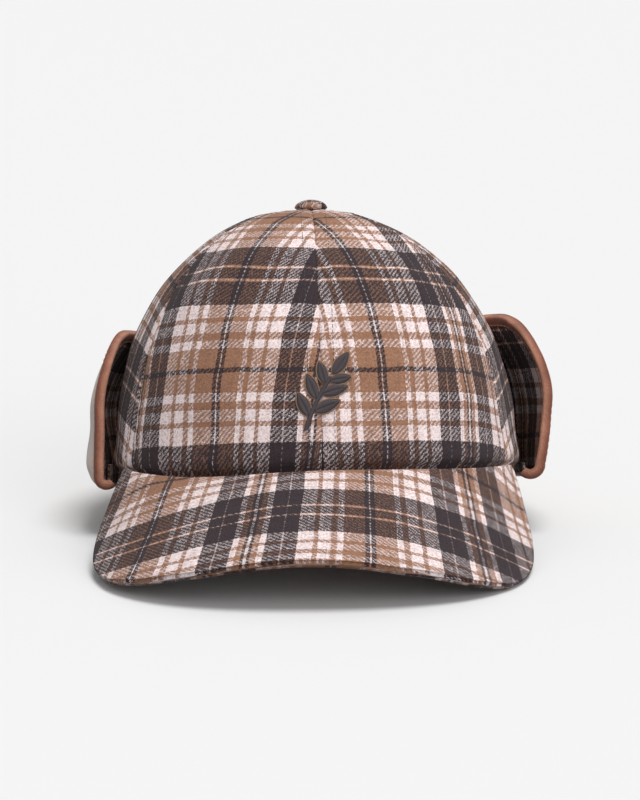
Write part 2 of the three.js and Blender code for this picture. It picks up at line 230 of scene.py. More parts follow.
# for each panel: where the plaid's dark lines lie, in mm from its centre line and above the rim; how far the
# warp leans over for each mm up; how closely the pattern lies to the left and right of its dark line, 1 being
# its true size; and how far the weft bows down to each side, at bowReach from the centre line
panelLook = {
    "crown_front_right": {"piece": "crownFrontRight", "warpAt": -23.4, "weftAt": 40.0, "lean": 0.038,
                          "spread": (0.92, 0.93), "bow": (0.0, 1.8)},
    "crown_side_right": {"piece": "crownSideRight", "warpAt": 22.0, "weftAt": -5.0, "lean": 0.0,
                         "spread": (1.0, 1.0), "bow": (7.0, 4.0)},
    "crown_back_right": {"piece": "crownBackRight", "warpAt": -12.0, "weftAt": 30.0, "lean": 0.0,
                         "spread": (1.0, 1.0), "bow": (4.0, 2.0)},
    "crown_back_left": {"piece": "crownBackLeft", "warpAt": 9.0, "weftAt": 30.0, "lean": 0.0,
                        "spread": (1.0, 1.0), "bow": (2.0, 4.0)},
    "crown_side_left": {"piece": "crownSideLeft", "warpAt": -20.0, "weftAt": -5.0, "lean": 0.0,
                        "spread": (1.0, 1.0), "bow": (4.0, 7.5)},
    "crown_front_left": {"piece": "crownFrontLeft", "warpAt": 3.0, "weftAt": 40.0, "lean": 0.018,
                         "spread": (0.78, 0.97), "bow": (1.4, 0.0)},
}


def seamSag(x):
    # how far the seam of crown and brim lies below its plain level, at this place across the cap
    look = crownLook
    width = np.where(x > look["sagAt"], look["sagWidth"][1], look["sagWidth"][0])
    return look["sag"] * np.exp(-((x - look["sagAt"]) / width) ** 2)


def crownDepth(plain, azimuth, lift, rise, fromSeam, index):
    # how far the cloth lies inside the crown's plain form: turned in at its edges, puckered and wrinkled
    look = crownLook
    roll = look["rollDepth"] * roundedIn(fromSeam / look["rollWidth"])
    hemRoll = roundedIn((rise + look["hemStart"]) / look["hemRoll"])
    curl = look["hemDepth"] * hemRoll * smooth(np.cos(azimuth), *look["hemFront"])
    nearSeam = np.exp(-((fromSeam - look["puckerAt"]) / look["puckerAt"]) ** 2)
    pucker = softNoise(plain, look["puckerSize"], seeds["pucker"] + index) * nearSeam * look["pucker"]
    wrinkle = softNoise(plain, look["wrinkleSize"], seeds["crown"]) * look["wrinkle"]
    wrinkle = wrinkle * smooth(fromSeam, *look["seamCalm"]) * smooth(rise, *look["rimCalm"])
    wrinkle = wrinkle * smooth(crown["halfWidth"] * np.cos(lift), *look["topCalm"])
    return roll, curl, pucker, wrinkle


def crownPanel(index, node, material):
    look, cut = crownLook, panelLook[node]
    start, end = math.radians(panelEnds[index]), math.radians(panelEnds[index + 1])
    columns = look["columns"]
    topLift = math.acos((crown["hole"] / crown["halfWidth"]) ** (1 / power))
    # rows close together at the rim, columns close together at the seams
    low = [np.linspace(*part) for part in look["lowRises"]]
    rises = np.concatenate([[-crown["hem"], look["hemMiddle"]]] + low)
    lifts = liftAt(np.maximum(rises, 0))
    upper = np.sin(np.linspace(0, math.pi / 2, look["rows"] - len(rises) + 2)[1:])
    upper = lifts[-1] + (topLift - lifts[-1]) * upper
    lifts = np.concatenate([lifts, upper])
    rises = np.concatenate([rises, riseAt(upper)])
    share = 0.5 - 0.5 * np.cos(np.linspace(0, math.pi, columns + 1))
    share = mix(share, np.linspace(0, 1, columns + 1), look["evenness"])
    lift, across = np.meshgrid(lifts, share, indexing="ij")
    rise = np.repeat(rises[:, None], columns + 1, 1)
    girth = radiusAt(lift) * (end - start)
    edge = gap / 2 / girth
    across = edge + across * (1 - 2 * edge)
    azimuth = start + (end - start) * across

    def skin(inset):
        wall = crownPoint(azimuth, lift, inset)
        hem = rimPoint(azimuth, -rise, inset)
        return np.where((rise <= 0)[..., None], hem, wall)

    plain = skin(np.zeros_like(rise))
    fromSeam = np.minimum(across, 1 - across) * girth
    roll, curl, pucker, wrinkle = crownDepth(plain, azimuth, lift, rise, fromSeam, index)
    outer = skin(roll + curl - pucker - wrinkle)
    inner = skin(np.maximum(crown["wall"] + look["innerRoll"] * roll, curl + look["hemWall"]) - wrinkle)
    lowered = seamSag(plain[..., 0]) * smooth(np.cos(azimuth), *look["sagFront"])
    lowered = lowered * (1 - smooth(rise, *look["sagRise"]))
    outer[..., 2] -= lowered
    inner[..., 2] -= lowered
    # cloth coordinates: true mm to each side of the panel's centre line, and up along it
    steps = np.linalg.norm(np.diff(plain, axis=1), axis=-1)
    u = np.concatenate([np.zeros((len(lifts), 1)), np.cumsum(steps, 1)], 1)
    u = u - u[:, [columns // 2]]
    up = np.linalg.norm(np.diff(plain[:, columns // 2], axis=0), axis=-1)
    v = (np.concatenate([[0], np.cumsum(up)]) + rises[0])[:, None]
    bow = np.where(u < 0, *cut["bow"]) * (u / look["bowReach"]) ** 2
    fromLine = u - cut["warpAt"] - cut["lean"] * v
    fromLine = fromLine * np.where(fromLine < 0, *cut["spread"])
    uv = np.stack([fromLine, v + bow - cut["weftAt"]], -1)
    return closedShell(cut["piece"], toWorld(outer), toWorld(inner), uv, material, node)


# brim
brim = {"droop": 33, "archRadius": 112, "openingLeft": 0.26, "openingRight": 0.12, "skew": 5,
        "thickness": 3.4, "seamHalf": 93, "seamGap": 1.7, "searchFrom": -95.0, "searchTo": 25.0,
        "searchSteps": 30}
brimOutline = [(0, 70), (36, 68), (67, 59), (90, 42), (102, 17), (104, -8), (100, -32), (95, -54)]
# the cloth is drawn over the arch: its warp fans out forwards, and its weft bows back at the sides
brimLook = {"columns": 200, "rows": 64, "edgeRows": 8, "edgeRound": 1.5, "edgeGroove": 0.45, "grooveAt": 0.75,
            "grooveWidth": 0.22, "edgeStep": 0.48, "seamDip": 3.0, "turnReach": 60, "turnWidth": 4.5,
            "tuck": 6.2, "tuckRows": 5, "sagReach": 0.3, "wrinkle": 0.22, "wrinkleSize": 30,
            "wrinkleFrom": (0.03, 0.25), "warpAt": 20.9, "warpAcross": 0.966, "warpAhead": 0.031,
            "fan": 0.0021, "fanCurve": 7e-6, "darkAt": 33.8, "weftBow": (1.2e-3, 2.1e-4, -2.3e-6, 1.53e-7),
            "weftStretch": 1.05, "underShift": 13, "lowest": 0.0001}


def brimPoint(across, ahead, depth):
    droop = math.radians(brim["droop"])
    opening = np.where(across < 0, brim["openingLeft"], brim["openingRight"])
    radius = brim["archRadius"] + opening * np.maximum(ahead - brimOutline[-1][1], 0)
    turn = across / radius
    back, front = brimOutline[-1][1], brimOutline[0][1]
    pushed = brim["skew"] * np.maximum((ahead - back) / (front - back), 0)
    lift = (radius - depth) * np.cos(turn) - radius
    seam = crownPlain(np.array(0.0), np.array(0.0))
    return np.stack([
        seam[0] + (radius - depth) * np.sin(turn) - pushed,
        seam[1] - ahead * math.cos(droop) - lift * math.sin(droop),
        seam[2] - ahead * math.sin(droop) + lift * math.cos(droop)], -1)


def seamAhead(across, depth):
    # how far ahead the brim starts at each place, found by halving
    wide = crown["halfWidth"] + crown["flare"] + gap * brim["seamGap"]
    long = crown["halfLength"] + crown["flare"] + gap * brim["seamGap"]
    inside, outside = np.full_like(across, brim["searchFrom"]), np.full_like(across, brim["searchTo"])
    for _ in range(brim["searchSteps"]):
        middle = (inside + outside) / 2
        point = brimPoint(across, middle, depth)
        isIn = (point[..., 0] / wide) ** 2 + (point[..., 1] / long) ** 2 < 1
        inside, outside = np.where(isIn, middle, inside), np.where(isIn, outside, middle)
    return outside


def outlineCurve(share):
    # the brim's edge through its outline, from its left end (0) to its right end (1)
    half = np.array(brimOutline, float)
    points = np.concatenate([half[:0:-1] * [-1, 1], half])
    n = len(points) - 1
    lengths = np.sqrt(np.linalg.norm(np.diff(points, axis=0), axis=1))
    place = share * n
    i = np.clip(place.astype(int), 0, n - 1)
    t = place - i
    before = np.where((i > 0)[:, None], points[np.maximum(i - 1, 0)], 2 * points[0] - points[1])
    after = np.where((i + 2 <= n)[:, None], points[np.minimum(i + 2, n)], 2 * points[n] - points[n - 1])
    p0, p1, p2, p3 = before, points[i], points[i + 1], after
    d0 = np.where(i > 0, lengths[np.maximum(i - 1, 0)], lengths[0])[:, None]
    d1 = lengths[i][:, None]
    d2 = np.where(i + 1 < n, lengths[np.minimum(i + 1, n - 1)], lengths[n - 1])[:, None]
    t1 = ((p1 - p0) / d0 - (p2 - p0) / (d0 + d1) + (p2 - p1) / d1) * d1
    t2 = ((p2 - p1) / d1 - (p3 - p1) / (d1 + d2) + (p3 - p2) / d2) * d1
    t = t[:, None]
    return ((2 * t ** 3 - 3 * t ** 2 + 1) * p1 + (t ** 3 - 2 * t ** 2 + t) * t1
            + (3 * t ** 2 - 2 * t ** 3) * p2 + (t ** 3 - t ** 2) * t2)


def brimCloth(material):
    look, thick = brimLook, brim["thickness"]
    columns, rows, edgeRows = look["columns"], look["rows"], look["edgeRows"]
    share = np.linspace(0, 1, columns + 1)
    edge = outlineCurve(share)
    across = brim["seamHalf"] * (2 * share - 1)
    drawn = brimPoint(across, seamAhead(across, 0), 0)[..., 2] + gap

    def at(rowShare, depth, pull):
        start = seamAhead(across, depth)
        u, v = mix(across, edge[:, 0], rowShare), mix(start, edge[:, 1], rowShare)
        back = unit(np.stack([across - edge[:, 0], start - edge[:, 1]], -1)) * pull
        point = brimPoint(u + back[:, 0], v + back[:, 1], depth)
        sag = seamSag(point[:, 0]) * (1 - smooth(rowShare, 0, look["sagReach"]))
        point[:, 2] -= drawn * (1 - rowShare) ** 2 + sag
        return point, np.stack([u, v], -1)

    # top from the seam, where the cloth turns down, to the edge, round it, and back along the underside
    around = []
    for r in np.linspace(0, 1, rows + 1):
        around.append((r, look["seamDip"] * roundedIn(r * look["turnReach"] / look["turnWidth"]), 0.0))
    for k in range(1, edgeRows):
        a = math.pi * k / edgeRows
        groove = look["edgeGroove"] * math.exp(-((a - look["grooveAt"]) / look["grooveWidth"]) ** 2)
        around.append((1.0, thick / 2 * (1 - math.cos(a)), look["edgeRound"] * (1 - math.sin(a)) + groove))
    for r in np.linspace(1, 0, rows + 1):
        around.append((r, thick, 0.0))
    points, uvs = [], []
    for i, place in enumerate(around):
        point, uv = at(*place)
        if rows < i < rows + edgeRows:
            uv = uv + [0, look["edgeStep"] * (i - rows)]
        points.append(point)
        uvs.append(uv)
    points, uvs = np.array(points), np.array(uvs)
    # a little unevenness, the same through the thickness
    flatKey = np.concatenate([uvs, np.zeros_like(uvs[..., :1])], -1)
    bump = softNoise(flatKey, look["wrinkleSize"], seeds["brim"]) * look["wrinkle"]
    points[..., 2] += bump * np.array([smooth(r, *look["wrinkleFrom"]) for r, _, _ in around])[:, None]
    # both faces run on inwards, under the crown's turned hem, where they are sewn to it
    inwards = -unit(points[0, :, :2] / [crown["halfWidth"] ** 2, crown["halfLength"] ** 2])
    lead = look["tuckRows"]
    tucks = np.linspace(look["tuck"], 0, lead + 1)[:-1, None, None]
    above, below = np.repeat(points[:1], lead, 0), np.repeat(points[-1:], lead, 0)
    above[..., :2] += inwards * tucks
    below[..., :2] += inwards * tucks[::-1]
    points = np.concatenate([above, points, below])
    uvs = np.concatenate([uvs[:1] - tucks * [0, 1], uvs, uvs[-1:] - tucks[::-1] * [0, 1]])
    total = len(points)
    u, v = uvs[..., 0], uvs[..., 1]
    fanned = look["warpAcross"] * u + look["warpAhead"] * v - look["fan"] * u * v - look["fanCurve"] * u ** 3
    bowed = v - look["darkAt"]
    for degree, amount in enumerate(look["weftBow"], 1):
        bowed = bowed + amount * u ** degree
    under = (np.arange(total) > lead + rows + edgeRows / 2)[:, None]
    uv = np.stack([fanned - look["warpAt"] + np.where(under, look["underShift"], 0),
                   look["weftStretch"] * bowed + plaidLook["weftHalf"]], -1)
    # the skin closes on itself behind the seam, and each end is filled
    last = (total - 1) * (columns + 1)
    faces = skinFaces(total - 1, columns, flip=True)
    faces += [(c, c + 1, last + c + 1, last + c) for c in range(columns)]
    for c, turned in ((0, False), (columns, True)):
        for r in range(lead + rows + edgeRows // 2 - 1):
            corners = (r, r + 1, total - 2 - r, total - 1 - r)
            quad = tuple(corner * (columns + 1) + c for corner in corners)
            faces.append(quad if turned else quad[::-1])
    placed = toWorld(points.reshape(-1, 3))
    placed[:, 2] = np.maximum(placed[:, 2], look["lowest"])
    return makePiece("brimCloth", placed, faces, uv.reshape(-1, 2), material, "brim")


# button
buttonLook = {"radius": 7.1, "height": 4.4, "rim": 0.7, "rings": 26, "sides": 72, "plaidAt": (20, 5),
              "underside": [(7.1, 0.25), (2.5, 0.25), (1.2, 0.2)], "pucker": 0.18, "puckers": 14,
              "puckerRise": 1.4, "outOfRound": 0.018, "corners": 3, "stretch": 0.16}


def clothButton(material):
    look, sides = buttonLook, buttonLook["sides"]
    seat = crown["height"] + gap
    profile = [(look["radius"] - into, seat - below) for into, below in look["underside"]]
    for i in range(look["rings"] + 1):
        a = math.pi / 2 * (i / look["rings"])
        dome = (look["height"] - look["rim"]) * math.sin(a)
        profile.append((look["radius"] * math.cos(a), seat + look["rim"] + dome))
    points, uvs = [], []
    for radius, height in profile:
        low = math.exp(-((height - seat) / look["puckerRise"]) ** 2)
        stretch = 1 + look["stretch"] * (radius / look["radius"]) ** 2
        for s in range(sides):
            a = 2 * math.pi * s / sides
            uneven = 1 + look["outOfRound"] * math.sin(look["corners"] * a + 1)
            r = radius * uneven + look["pucker"] * low * math.sin(look["puckers"] * a) * (radius > 1)
            x, y = r * math.sin(a), -r * math.cos(a)
            points.append((x - crown["lean"], y, height))
            uvs.append((x * stretch, y * stretch))
    faces = skinFaces(len(profile) - 1, sides, closed=True)
    uvs = np.array(uvs) + look["plaidAt"]
    return makePiece("buttonCloth", toWorld(np.array(points)), faces, uvs, material, "button")


# earflap band: along runs from -1 (left front edge) round the back to 1, climb from -1 where the cloth
# leaves the rim, through 0 where the fold is passed, to 1 at the full height
flap = {"frontAzimuth": 76, "foldRadius": 1, "legShare": 1 / 6, "backHang": 4, "cloth": 1, "lining": 1.1,
        "backHeight": 54, "backStandOff": 1.5, "topGap": 2, "slant": 0.04, "cornerStart": 0.6,
        "cornerReach": 28, "cornerShape": 2.4, "earShare": (0.3, 0.75), "barrelShare": (0.35, 0.75),
        "barrelShape": 1.2, "frontShare": (0.7, 1), "peelRise": 1.5, "peelBack": 0.3, "peelFade": (0.2, 1.05),
        "foldFade": (0, 0.4)}
ears = {"left": {"height": 57.5, "hang": 7.5, "side": 7.3, "front": 7.4, "fold": 2.2},
        "right": {"height": 64, "hang": 3.8, "side": 3.4, "front": 16.5, "fold": 3.2}}
flapLook = {"columns": 260, "foldRows": 18, "riseRows": 56, "evenness": 0.35, "warpAt": 7.0, "weftAt": 12.0,
            "stretch": 1.03, "wrinkle": 0.3, "wrinkleSize": 22, "edgeCalm": (5, 12), "foldCalm": (0.03, 0.2),
            "overlap": 0.05, "tuckBack": 0.085, "tuckDown": (0.32, 0.85), "tuckAlong": (0.8, 1)}
rimLength = math.radians(180 - flap["frontAzimuth"]) * (crown["halfWidth"] + crown["halfLength"]) / 2
bandMiddle = (flap["cloth"] + gap + flap["lining"]) / 2


def earValue(along, key):
    return np.where(along < 0, ears["left"][key], ears["right"][key])


def bandHeight(along):
    return mix(flap["backHeight"], earValue(along, "height"), smooth(np.abs(along), *flap["earShare"]))


def flapFace(along, climb):
    azimuth = math.pi - along * math.radians(180 - flap["frontAzimuth"])
    atEar, atFront = smooth(np.abs(along), *flap["earShare"]), smooth(np.abs(along), *flap["frontShare"])
    hang = mix(flap["backHang"], earValue(along, "hang"), atEar)
    tight, leg = flap["foldRadius"], flap["legShare"]
    r = mix(tight, earValue(along, "fold"), atFront)
    down = np.clip(np.minimum(-climb, 1 + climb) / leg, 0, 1)
    turn = math.pi * (1 + np.clip((1 + climb - leg) / (1 - 2 * leg), 0, 1))
    foldOut = gap + flap["cloth"] + r * (1 + np.cos(turn))
    foldRise = r * np.sin(turn) - (hang - r) * down
    level = np.clip(climb, 0, 1)
    barrel = mix(flap["backStandOff"], earValue(along, "side"), smooth(np.abs(along), *flap["barrelShare"]))
    bulge = barrel * np.sin(math.pi * level).clip(0) ** flap["barrelShape"]
    rising = np.sin(math.pi * np.minimum(climb.clip(0) / flap["peelRise"], 0.5))
    peel = earValue(along, "front") * rising * (1 - flap["peelBack"] * smooth(climb, *flap["peelFade"]))
    riseOut = mix(gap + flap["cloth"] + 2 * tight, flap["topGap"], smooth(climb, 0, 1))
    riseOut = riseOut + 2 * (r - tight) * (1 - smooth(climb, *flap["foldFade"])) + mix(bulge, peel, atFront)
    out = np.where(climb < 0, foldOut, riseOut)
    rise = np.where(climb < 0, foldRise, climb * bandHeight(along))
    wall = crownPlain(azimuth, liftAt(np.maximum(rise, 0)))
    outward = unit(np.stack([np.sin(azimuth) / crown["halfWidth"], -np.cos(azimuth) / crown["halfLength"],
                             0 * azimuth], -1))
    point = wall + outward * (out + crown["puff"] * smooth(rise, *crown["puffRise"]))[..., None]
    point[..., 2] = rise
    return point


def flapNormal(along, climb):
    step, reach = 1e-3, 2e-3
    safe = np.where(climb < 0, np.minimum(climb, -reach), np.maximum(climb, reach))
    safe = np.minimum(safe, 1 - reach)
    a = flapFace(along + step, safe) - flapFace(along - step, safe)
    b = flapFace(along, safe + reach) - flapFace(along, safe - reach)
    return -unit(np.cross(a, b))


def flapPoint(along, climb, depth):
    return flapFace(along, climb) + flapNormal(along, climb) * np.asarray(depth)[..., None]


def topShare(along):
    fromFront = np.clip((1 - np.abs(along)) * rimLength / flap["cornerReach"], 0, 1)
    rounded = (1 - (1 - fromFront) ** flap["cornerShape"]) ** (1 / flap["cornerShape"])
    return mix(flap["cornerStart"], 1, rounded)


def leanBack(along, climb):
    return along * (1 - flap["slant"] * np.maximum(climb, 0))


def flapGrid(fromClimb):
    columns, foldRows, riseRows = flapLook["columns"], flapLook["foldRows"], flapLook["riseRows"]
    along = np.sin(np.linspace(-math.pi / 2, math.pi / 2, columns + 1))[::-1]
    along = mix(along, np.linspace(1, -1, columns + 1), flapLook["evenness"])
    fold = np.linspace(fromClimb, 0, foldRows + 1)[:-1]
    rise = np.linspace(0, 1, riseRows + 1)
    top = topShare(along)
    climb = np.concatenate([np.repeat(fold[:, None], columns + 1, 1), rise[:, None] * top[None, :]])
    along = np.repeat(along[None, :], climb.shape[0], 0)
    return leanBack(along, climb), climb, top


def pressed(points, below):
    # what lies under a layer keeps it off the ground, in metres
    points[..., 2] = np.maximum(points[..., 2], below / 1000)
    return points


def flapCoordinates(along, climb):
    face = flapFace(along, climb)
    up = np.linalg.norm(np.diff(face, axis=0), axis=-1)
    v = np.concatenate([np.zeros((1, face.shape[1])), np.cumsum(up, 0)])
    v = v - v[np.argmax(climb[:, 0] >= 0)]
    return np.stack([along * rimLength * flapLook["stretch"], v], -1)


def fromFlapEdge(along, climb, top):
    # mm from the free edge, roughly: down from the top, and back from the front
    down = (top[None, :] - climb) * bandHeight(along)
    side = (1 - np.abs(along) / (1 - flap["slant"] * np.maximum(climb, 0))) * rimLength
    return np.minimum(down, side)


def tuckedIn(along, climb):
    # the layers' lowest part stands back from the front edge, out of sight
    lowest = smooth(-climb, *flapLook["tuckDown"]) * smooth(np.abs(along), *flapLook["tuckAlong"])
    return along * (1 - flapLook["tuckBack"] * lowest)


def earflapCloth(material):
    look, thick = flapLook, flap["cloth"]
    along, climb, top = flapGrid(-1)
    along = tuckedIn(along, climb)
    inside = smooth(fromFlapEdge(along, climb, top), *look["edgeCalm"]) * smooth(climb, *look["foldCalm"])
    wave = softNoise(flapFace(along, climb), look["wrinkleSize"], seeds["flap"]) * look["wrinkle"] * inside
    outer = pressed(toWorld(flapPoint(along, climb, thick + 0 * along)), flap["lining"] + gap)
    inner = pressed(toWorld(flapPoint(along, climb, wave - look["overlap"])), thick + flap["lining"] + gap)
    uv = flapCoordinates(along, climb) - [look["warpAt"], look["weftAt"]]
    return closedShell("earflapCloth", outer, inner, uv, material, "earflap_cloth", roundness=0.2)


liningLook = {"from": -4 / 6, "puff": 1.5, "puffEdge": (3.5, 15), "puffFold": (-0.1, 0.2), "flatLeft": 0.6,
              "flatLeftAlong": (-0.6, -0.8), "flatLeftClimb": (0.25, 0.6), "waves": 0.75, "waveLength": 5.6,
              "waveBend": 1.5, "bendSize": 50, "shareSize": 60, "upright": 0.55, "loose": 0.75,
              "looseSize": 20, "waveEdge": (5, 16), "swellLeft": 2.6, "swellRight": 0.4,
              "swellAlong": (0.6, 0.85), "swellEdge": (1.5, 7), "swellAt": -0.02, "swellRise": 0.17}


def earflapLining(material):
    look = liningLook
    along, climb, top = flapGrid(look["from"])
    along = tuckedIn(along, climb)
    key = flapFace(along, climb)
    edge = fromFlapEdge(along, climb, top)
    # padding: full in the middle, held flat under the binding, with soft upright waves
    soft = smooth(edge, *look["puffEdge"]) * smooth(climb, *look["puffFold"])
    flat = look["flatLeft"] * smooth(along, *look["flatLeftAlong"]) * smooth(climb, *look["flatLeftClimb"])
    soft = soft * (1 - flat)
    bend = look["waveBend"] * softNoise(key, look["bendSize"], seeds["liningWay"])
    upright = np.sin(along * rimLength / look["waveLength"] + bend)
    upright = upright * (0.5 + 0.5 * softNoise(key, look["shareSize"], seeds["liningShare"]))
    loose = softNoise(key, look["looseSize"], seeds["lining"])
    waves = look["waves"] * (look["upright"] * upright + look["loose"] * loose) * soft
    # it swells out low down, near the front edges, where the fold pushes it
    low = smooth(np.abs(along), *look["swellAlong"]) * smooth(edge, *look["swellEdge"])
    low = low * np.exp(-((climb - look["swellAt"]) / look["swellRise"]) ** 2)
    depth = flap["cloth"] + gap + flap["lining"] + look["puff"] * soft
    depth = depth + waves * smooth(edge, *look["waveEdge"])
    depth = depth + np.where(along < 0, look["swellLeft"], look["swellRight"]) * low
    outer = pressed(toWorld(flapPoint(along, climb, depth)), 0)
    inner = pressed(toWorld(flapPoint(along, climb, flap["cloth"] + gap + 0 * along)), flap["lining"])
    uv = flapCoordinates(along, climb)
    piece = closedShell("earflapLining", outer, inner, uv, material, "earflap_lining", roundness=0.3)
    return piece


# leather binding over the flap's free edge
bindingLook = {"leg": 4.2, "wall": 0.5, "clearance": 0.2, "lip": 0.9, "lipShape": 0.8, "lipSteps": 9,
               "lipOut": 0.05, "lengths": 420, "ripple": 0.12, "rippleSize": 9, "rippleIn": 0.6,
               "rippleOut": 0.7, "foldAt": 7.9, "from": -0.67, "pathSteps": (24, 60, 90, 120), "smoothing": 3,
               "tip": [(0, 0.24), (0.18, 0.4), (0, 0.96)], "insideFold": -0.3, "insideLeg": 0.5}
# the outward leg's face, from near its tip to the fold: shares of the leg's length, and mm outwards
legSection = [(0.84, 0.08), (0.72, -0.04), (0.6, 0.1), (0.4, 0.16), (0.15, 0.12)]


def edgePath(count):
    # even steps along the free edge, from one front foot over the top to the other
    steps = bindingLook["pathSteps"]
    low = np.linspace(bindingLook["from"], 0, steps[0])[:-1]
    rising = np.linspace(0, flap["cornerStart"], steps[1])[:-1]
    front = np.concatenate([low, rising])
    x = 1 - np.cos(np.linspace(0, 1, steps[2]) * math.pi / 2) ** (2 / flap["cornerShape"])
    away = 1 - x * flap["cornerReach"] / rimLength
    back = np.linspace(away[-1], 0, steps[3])[1:]
    halfAlong = np.concatenate([np.ones_like(front), away, back])
    halfClimb = np.concatenate([front, topShare(away), topShare(back)])
    along = np.concatenate([-halfAlong, halfAlong[::-1][1:]])
    climb = np.concatenate([halfClimb, halfClimb[::-1][1:]])
    along = leanBack(along, climb)
    points = flapPoint(along, climb, bandMiddle + 0 * along)
    length = np.concatenate([[0], np.cumsum(np.linalg.norm(np.diff(points, axis=0), axis=-1))])
    even = np.linspace(0, length[-1], count)
    return np.interp(even, length, along), np.interp(even, length, climb), even


def edgeFrame():
    # the free edge's line, with the ways along the band (a), up it (b), and inwards from the edge
    along, climb, length = edgePath(bindingLook["lengths"])
    centre = flapPoint(along, climb, bandMiddle + 0 * along)
    normal = flapNormal(along, climb)
    inwards = -unit(np.cross(unit(np.gradient(centre, axis=0)), normal))
    for _ in range(bindingLook["smoothing"]):
        inwards[1:-1] = unit(inwards[:-2] + 2 * inwards[1:-1] + inwards[2:])
    step = 1e-3
    safe = np.minimum(climb, 1 - step)
    a = (flapFace(along + step, safe) - flapFace(along - step, safe)) / (2 * step)
    b = (flapFace(along, safe + step) - flapFace(along, safe - step)) / (2 * step)
    aa, ab, bb = (a * a).sum(-1), (a * b).sum(-1), (b * b).sum(-1)
    aw, bw = (a * inwards).sum(-1), (b * inwards).sum(-1)
    scale = aa * bb - ab * ab
    stepAlong, stepUp = (aw * bb - bw * ab) / scale, (bw * aa - aw * ab) / scale
    return {"along": along, "climb": climb, "length": length, "centre": centre, "normal": normal,
            "inwards": inwards, "stepAlong": stepAlong, "stepUp": stepUp}


def onBinding(edge, into, out):
    # a point of the strip, this far in from the band's free edge and out from its middle
    into = np.broadcast_to(into, edge["along"].shape)
    out = np.broadcast_to(out, edge["along"].shape)
    along = edge["along"] + edge["stepAlong"] * into.clip(0)
    climb = edge["climb"] + edge["stepUp"] * into.clip(0)
    outer = edge["centre"] + edge["inwards"] * into[:, None] + edge["normal"] * out[:, None]
    return np.where((into > 0)[:, None], flapPoint(along, climb, bandMiddle + out), outer)


def leatherBinding(material):
    look, edge = bindingLook, edgeFrame()
    slot = bandMiddle + look["clearance"]
    outer = slot + look["wall"]
    leg, lip = look["leg"], look["lip"]
    ripple = softNoise(edge["centre"], look["rippleSize"], seeds["leather"]) * look["ripple"]
    # round the strip: along the outward leg, over the edge, down the other leg, and back inside
    section = [(leg + past, slot + share * look["wall"]) for past, share in look["tip"]]
    section += [(leg * share, outer + out) for share, out in legSection]
    leading = len(section)
    for k in range(look["lipSteps"]):
        a = math.pi * (k + 0.5) / look["lipSteps"]
        section.append((-lip * math.sin(a) ** look["lipShape"], (outer + look["lipOut"]) * math.cos(a)))
    section += [(into, -out) for into, out in section[:leading]][::-1]
    faced = len(section)
    into, fold = leg * look["insideLeg"], look["insideFold"]
    section += [(into, -slot), (fold, -slot), (fold, slot), (into, slot)]
    rings, around = [], [0.0]
    for k, (into, out) in enumerate(section):
        wave = ripple if abs(out) > bandMiddle and k < faced else 0 * ripple
        outwards = np.sign(out) * wave * look["rippleOut"]
        rings.append(onBinding(edge, into + look["rippleIn"] * wave, out + outwards))
        if k:
            around.append(around[-1] + math.hypot(into - section[k - 1][0], out - section[k - 1][1]))
    points = np.stack(rings, 1)
    count, sides = points.shape[:2]
    uv = np.stack(np.meshgrid(edge["length"], np.array(around), indexing="ij"), -1)
    faces = skinFaces(count - 1, sides, closed=True)
    faces.append(tuple(range(sides))[::-1])
    faces.append(tuple((count - 1) * sides + k for k in range(sides)))
    points = toWorld(points).reshape(-1, 3)
    return makePiece("earflapBinding", points, faces, uv.reshape(-1, 2), material, "earflap_binding")


# colours, as the eye sees them, turned to linear light
def colour(code):
    parts = [int(code[i:i + 2], 16) / 255 for i in (0, 2, 4)]
    return [p / 12.92 if p <= 0.04045 else ((p + 0.055) / 1.055) ** 2.4 for p in parts] + [1.0]


plaidLook = {"cream": "D8C8C7", "tan": "8C6650", "dark": "2E2529", "white": "C4B6B5", "pale": "8F8385",
             "thread": 0.54, "weftHalf": 46.44, "warpHalf": 41.85}
# where each stripe starts, in mm from the middle of a dark one; the rest of the sett mirrors them
weftStripes = [(0, "dark"), (0.9, "tan"), (9.8, "cream"), (13.6, "tan"), (16.8, "cream"), (21.7, "tan"),
               (23.5, "cream"), (30.2, "dark"), (42.12, "tan"), (42.66, "cream"), (43.2, "tan"),
               (43.74, "dark")]
warpStripes = [(0, "white"), (0.27, "dark"), (1.5, "tan"), (9.2, "cream"), (11.3, "tan"), (13.8, "cream"),
               (18.1, "tan"), (19.7, "cream"), (25.1, "dark"), (29.97, "pale"), (30.51, "dark"),
               (35.9, "cream"), (37.8, "tan"), (40.2, "dark"), (41.31, "white")]


def newGroup(name, kind, inputs, outputs):
    # inputs: (label, socket, default or None); outputs: (label, socket)
    tree = bpy.data.node_groups.new(name, kind)
    for label, socketType, value in inputs:
        socket = tree.interface.new_socket(label, in_out="INPUT", socket_type=socketType)
        if value is not None:
            socket.default_value = value
    for label, socketType in outputs:
        tree.interface.new_socket(label, in_out="OUTPUT", socket_type=socketType)
    w = Weaver(tree)
    return w, w.node("NodeGroupInput").outputs, w.node("NodeGroupOutput").inputs


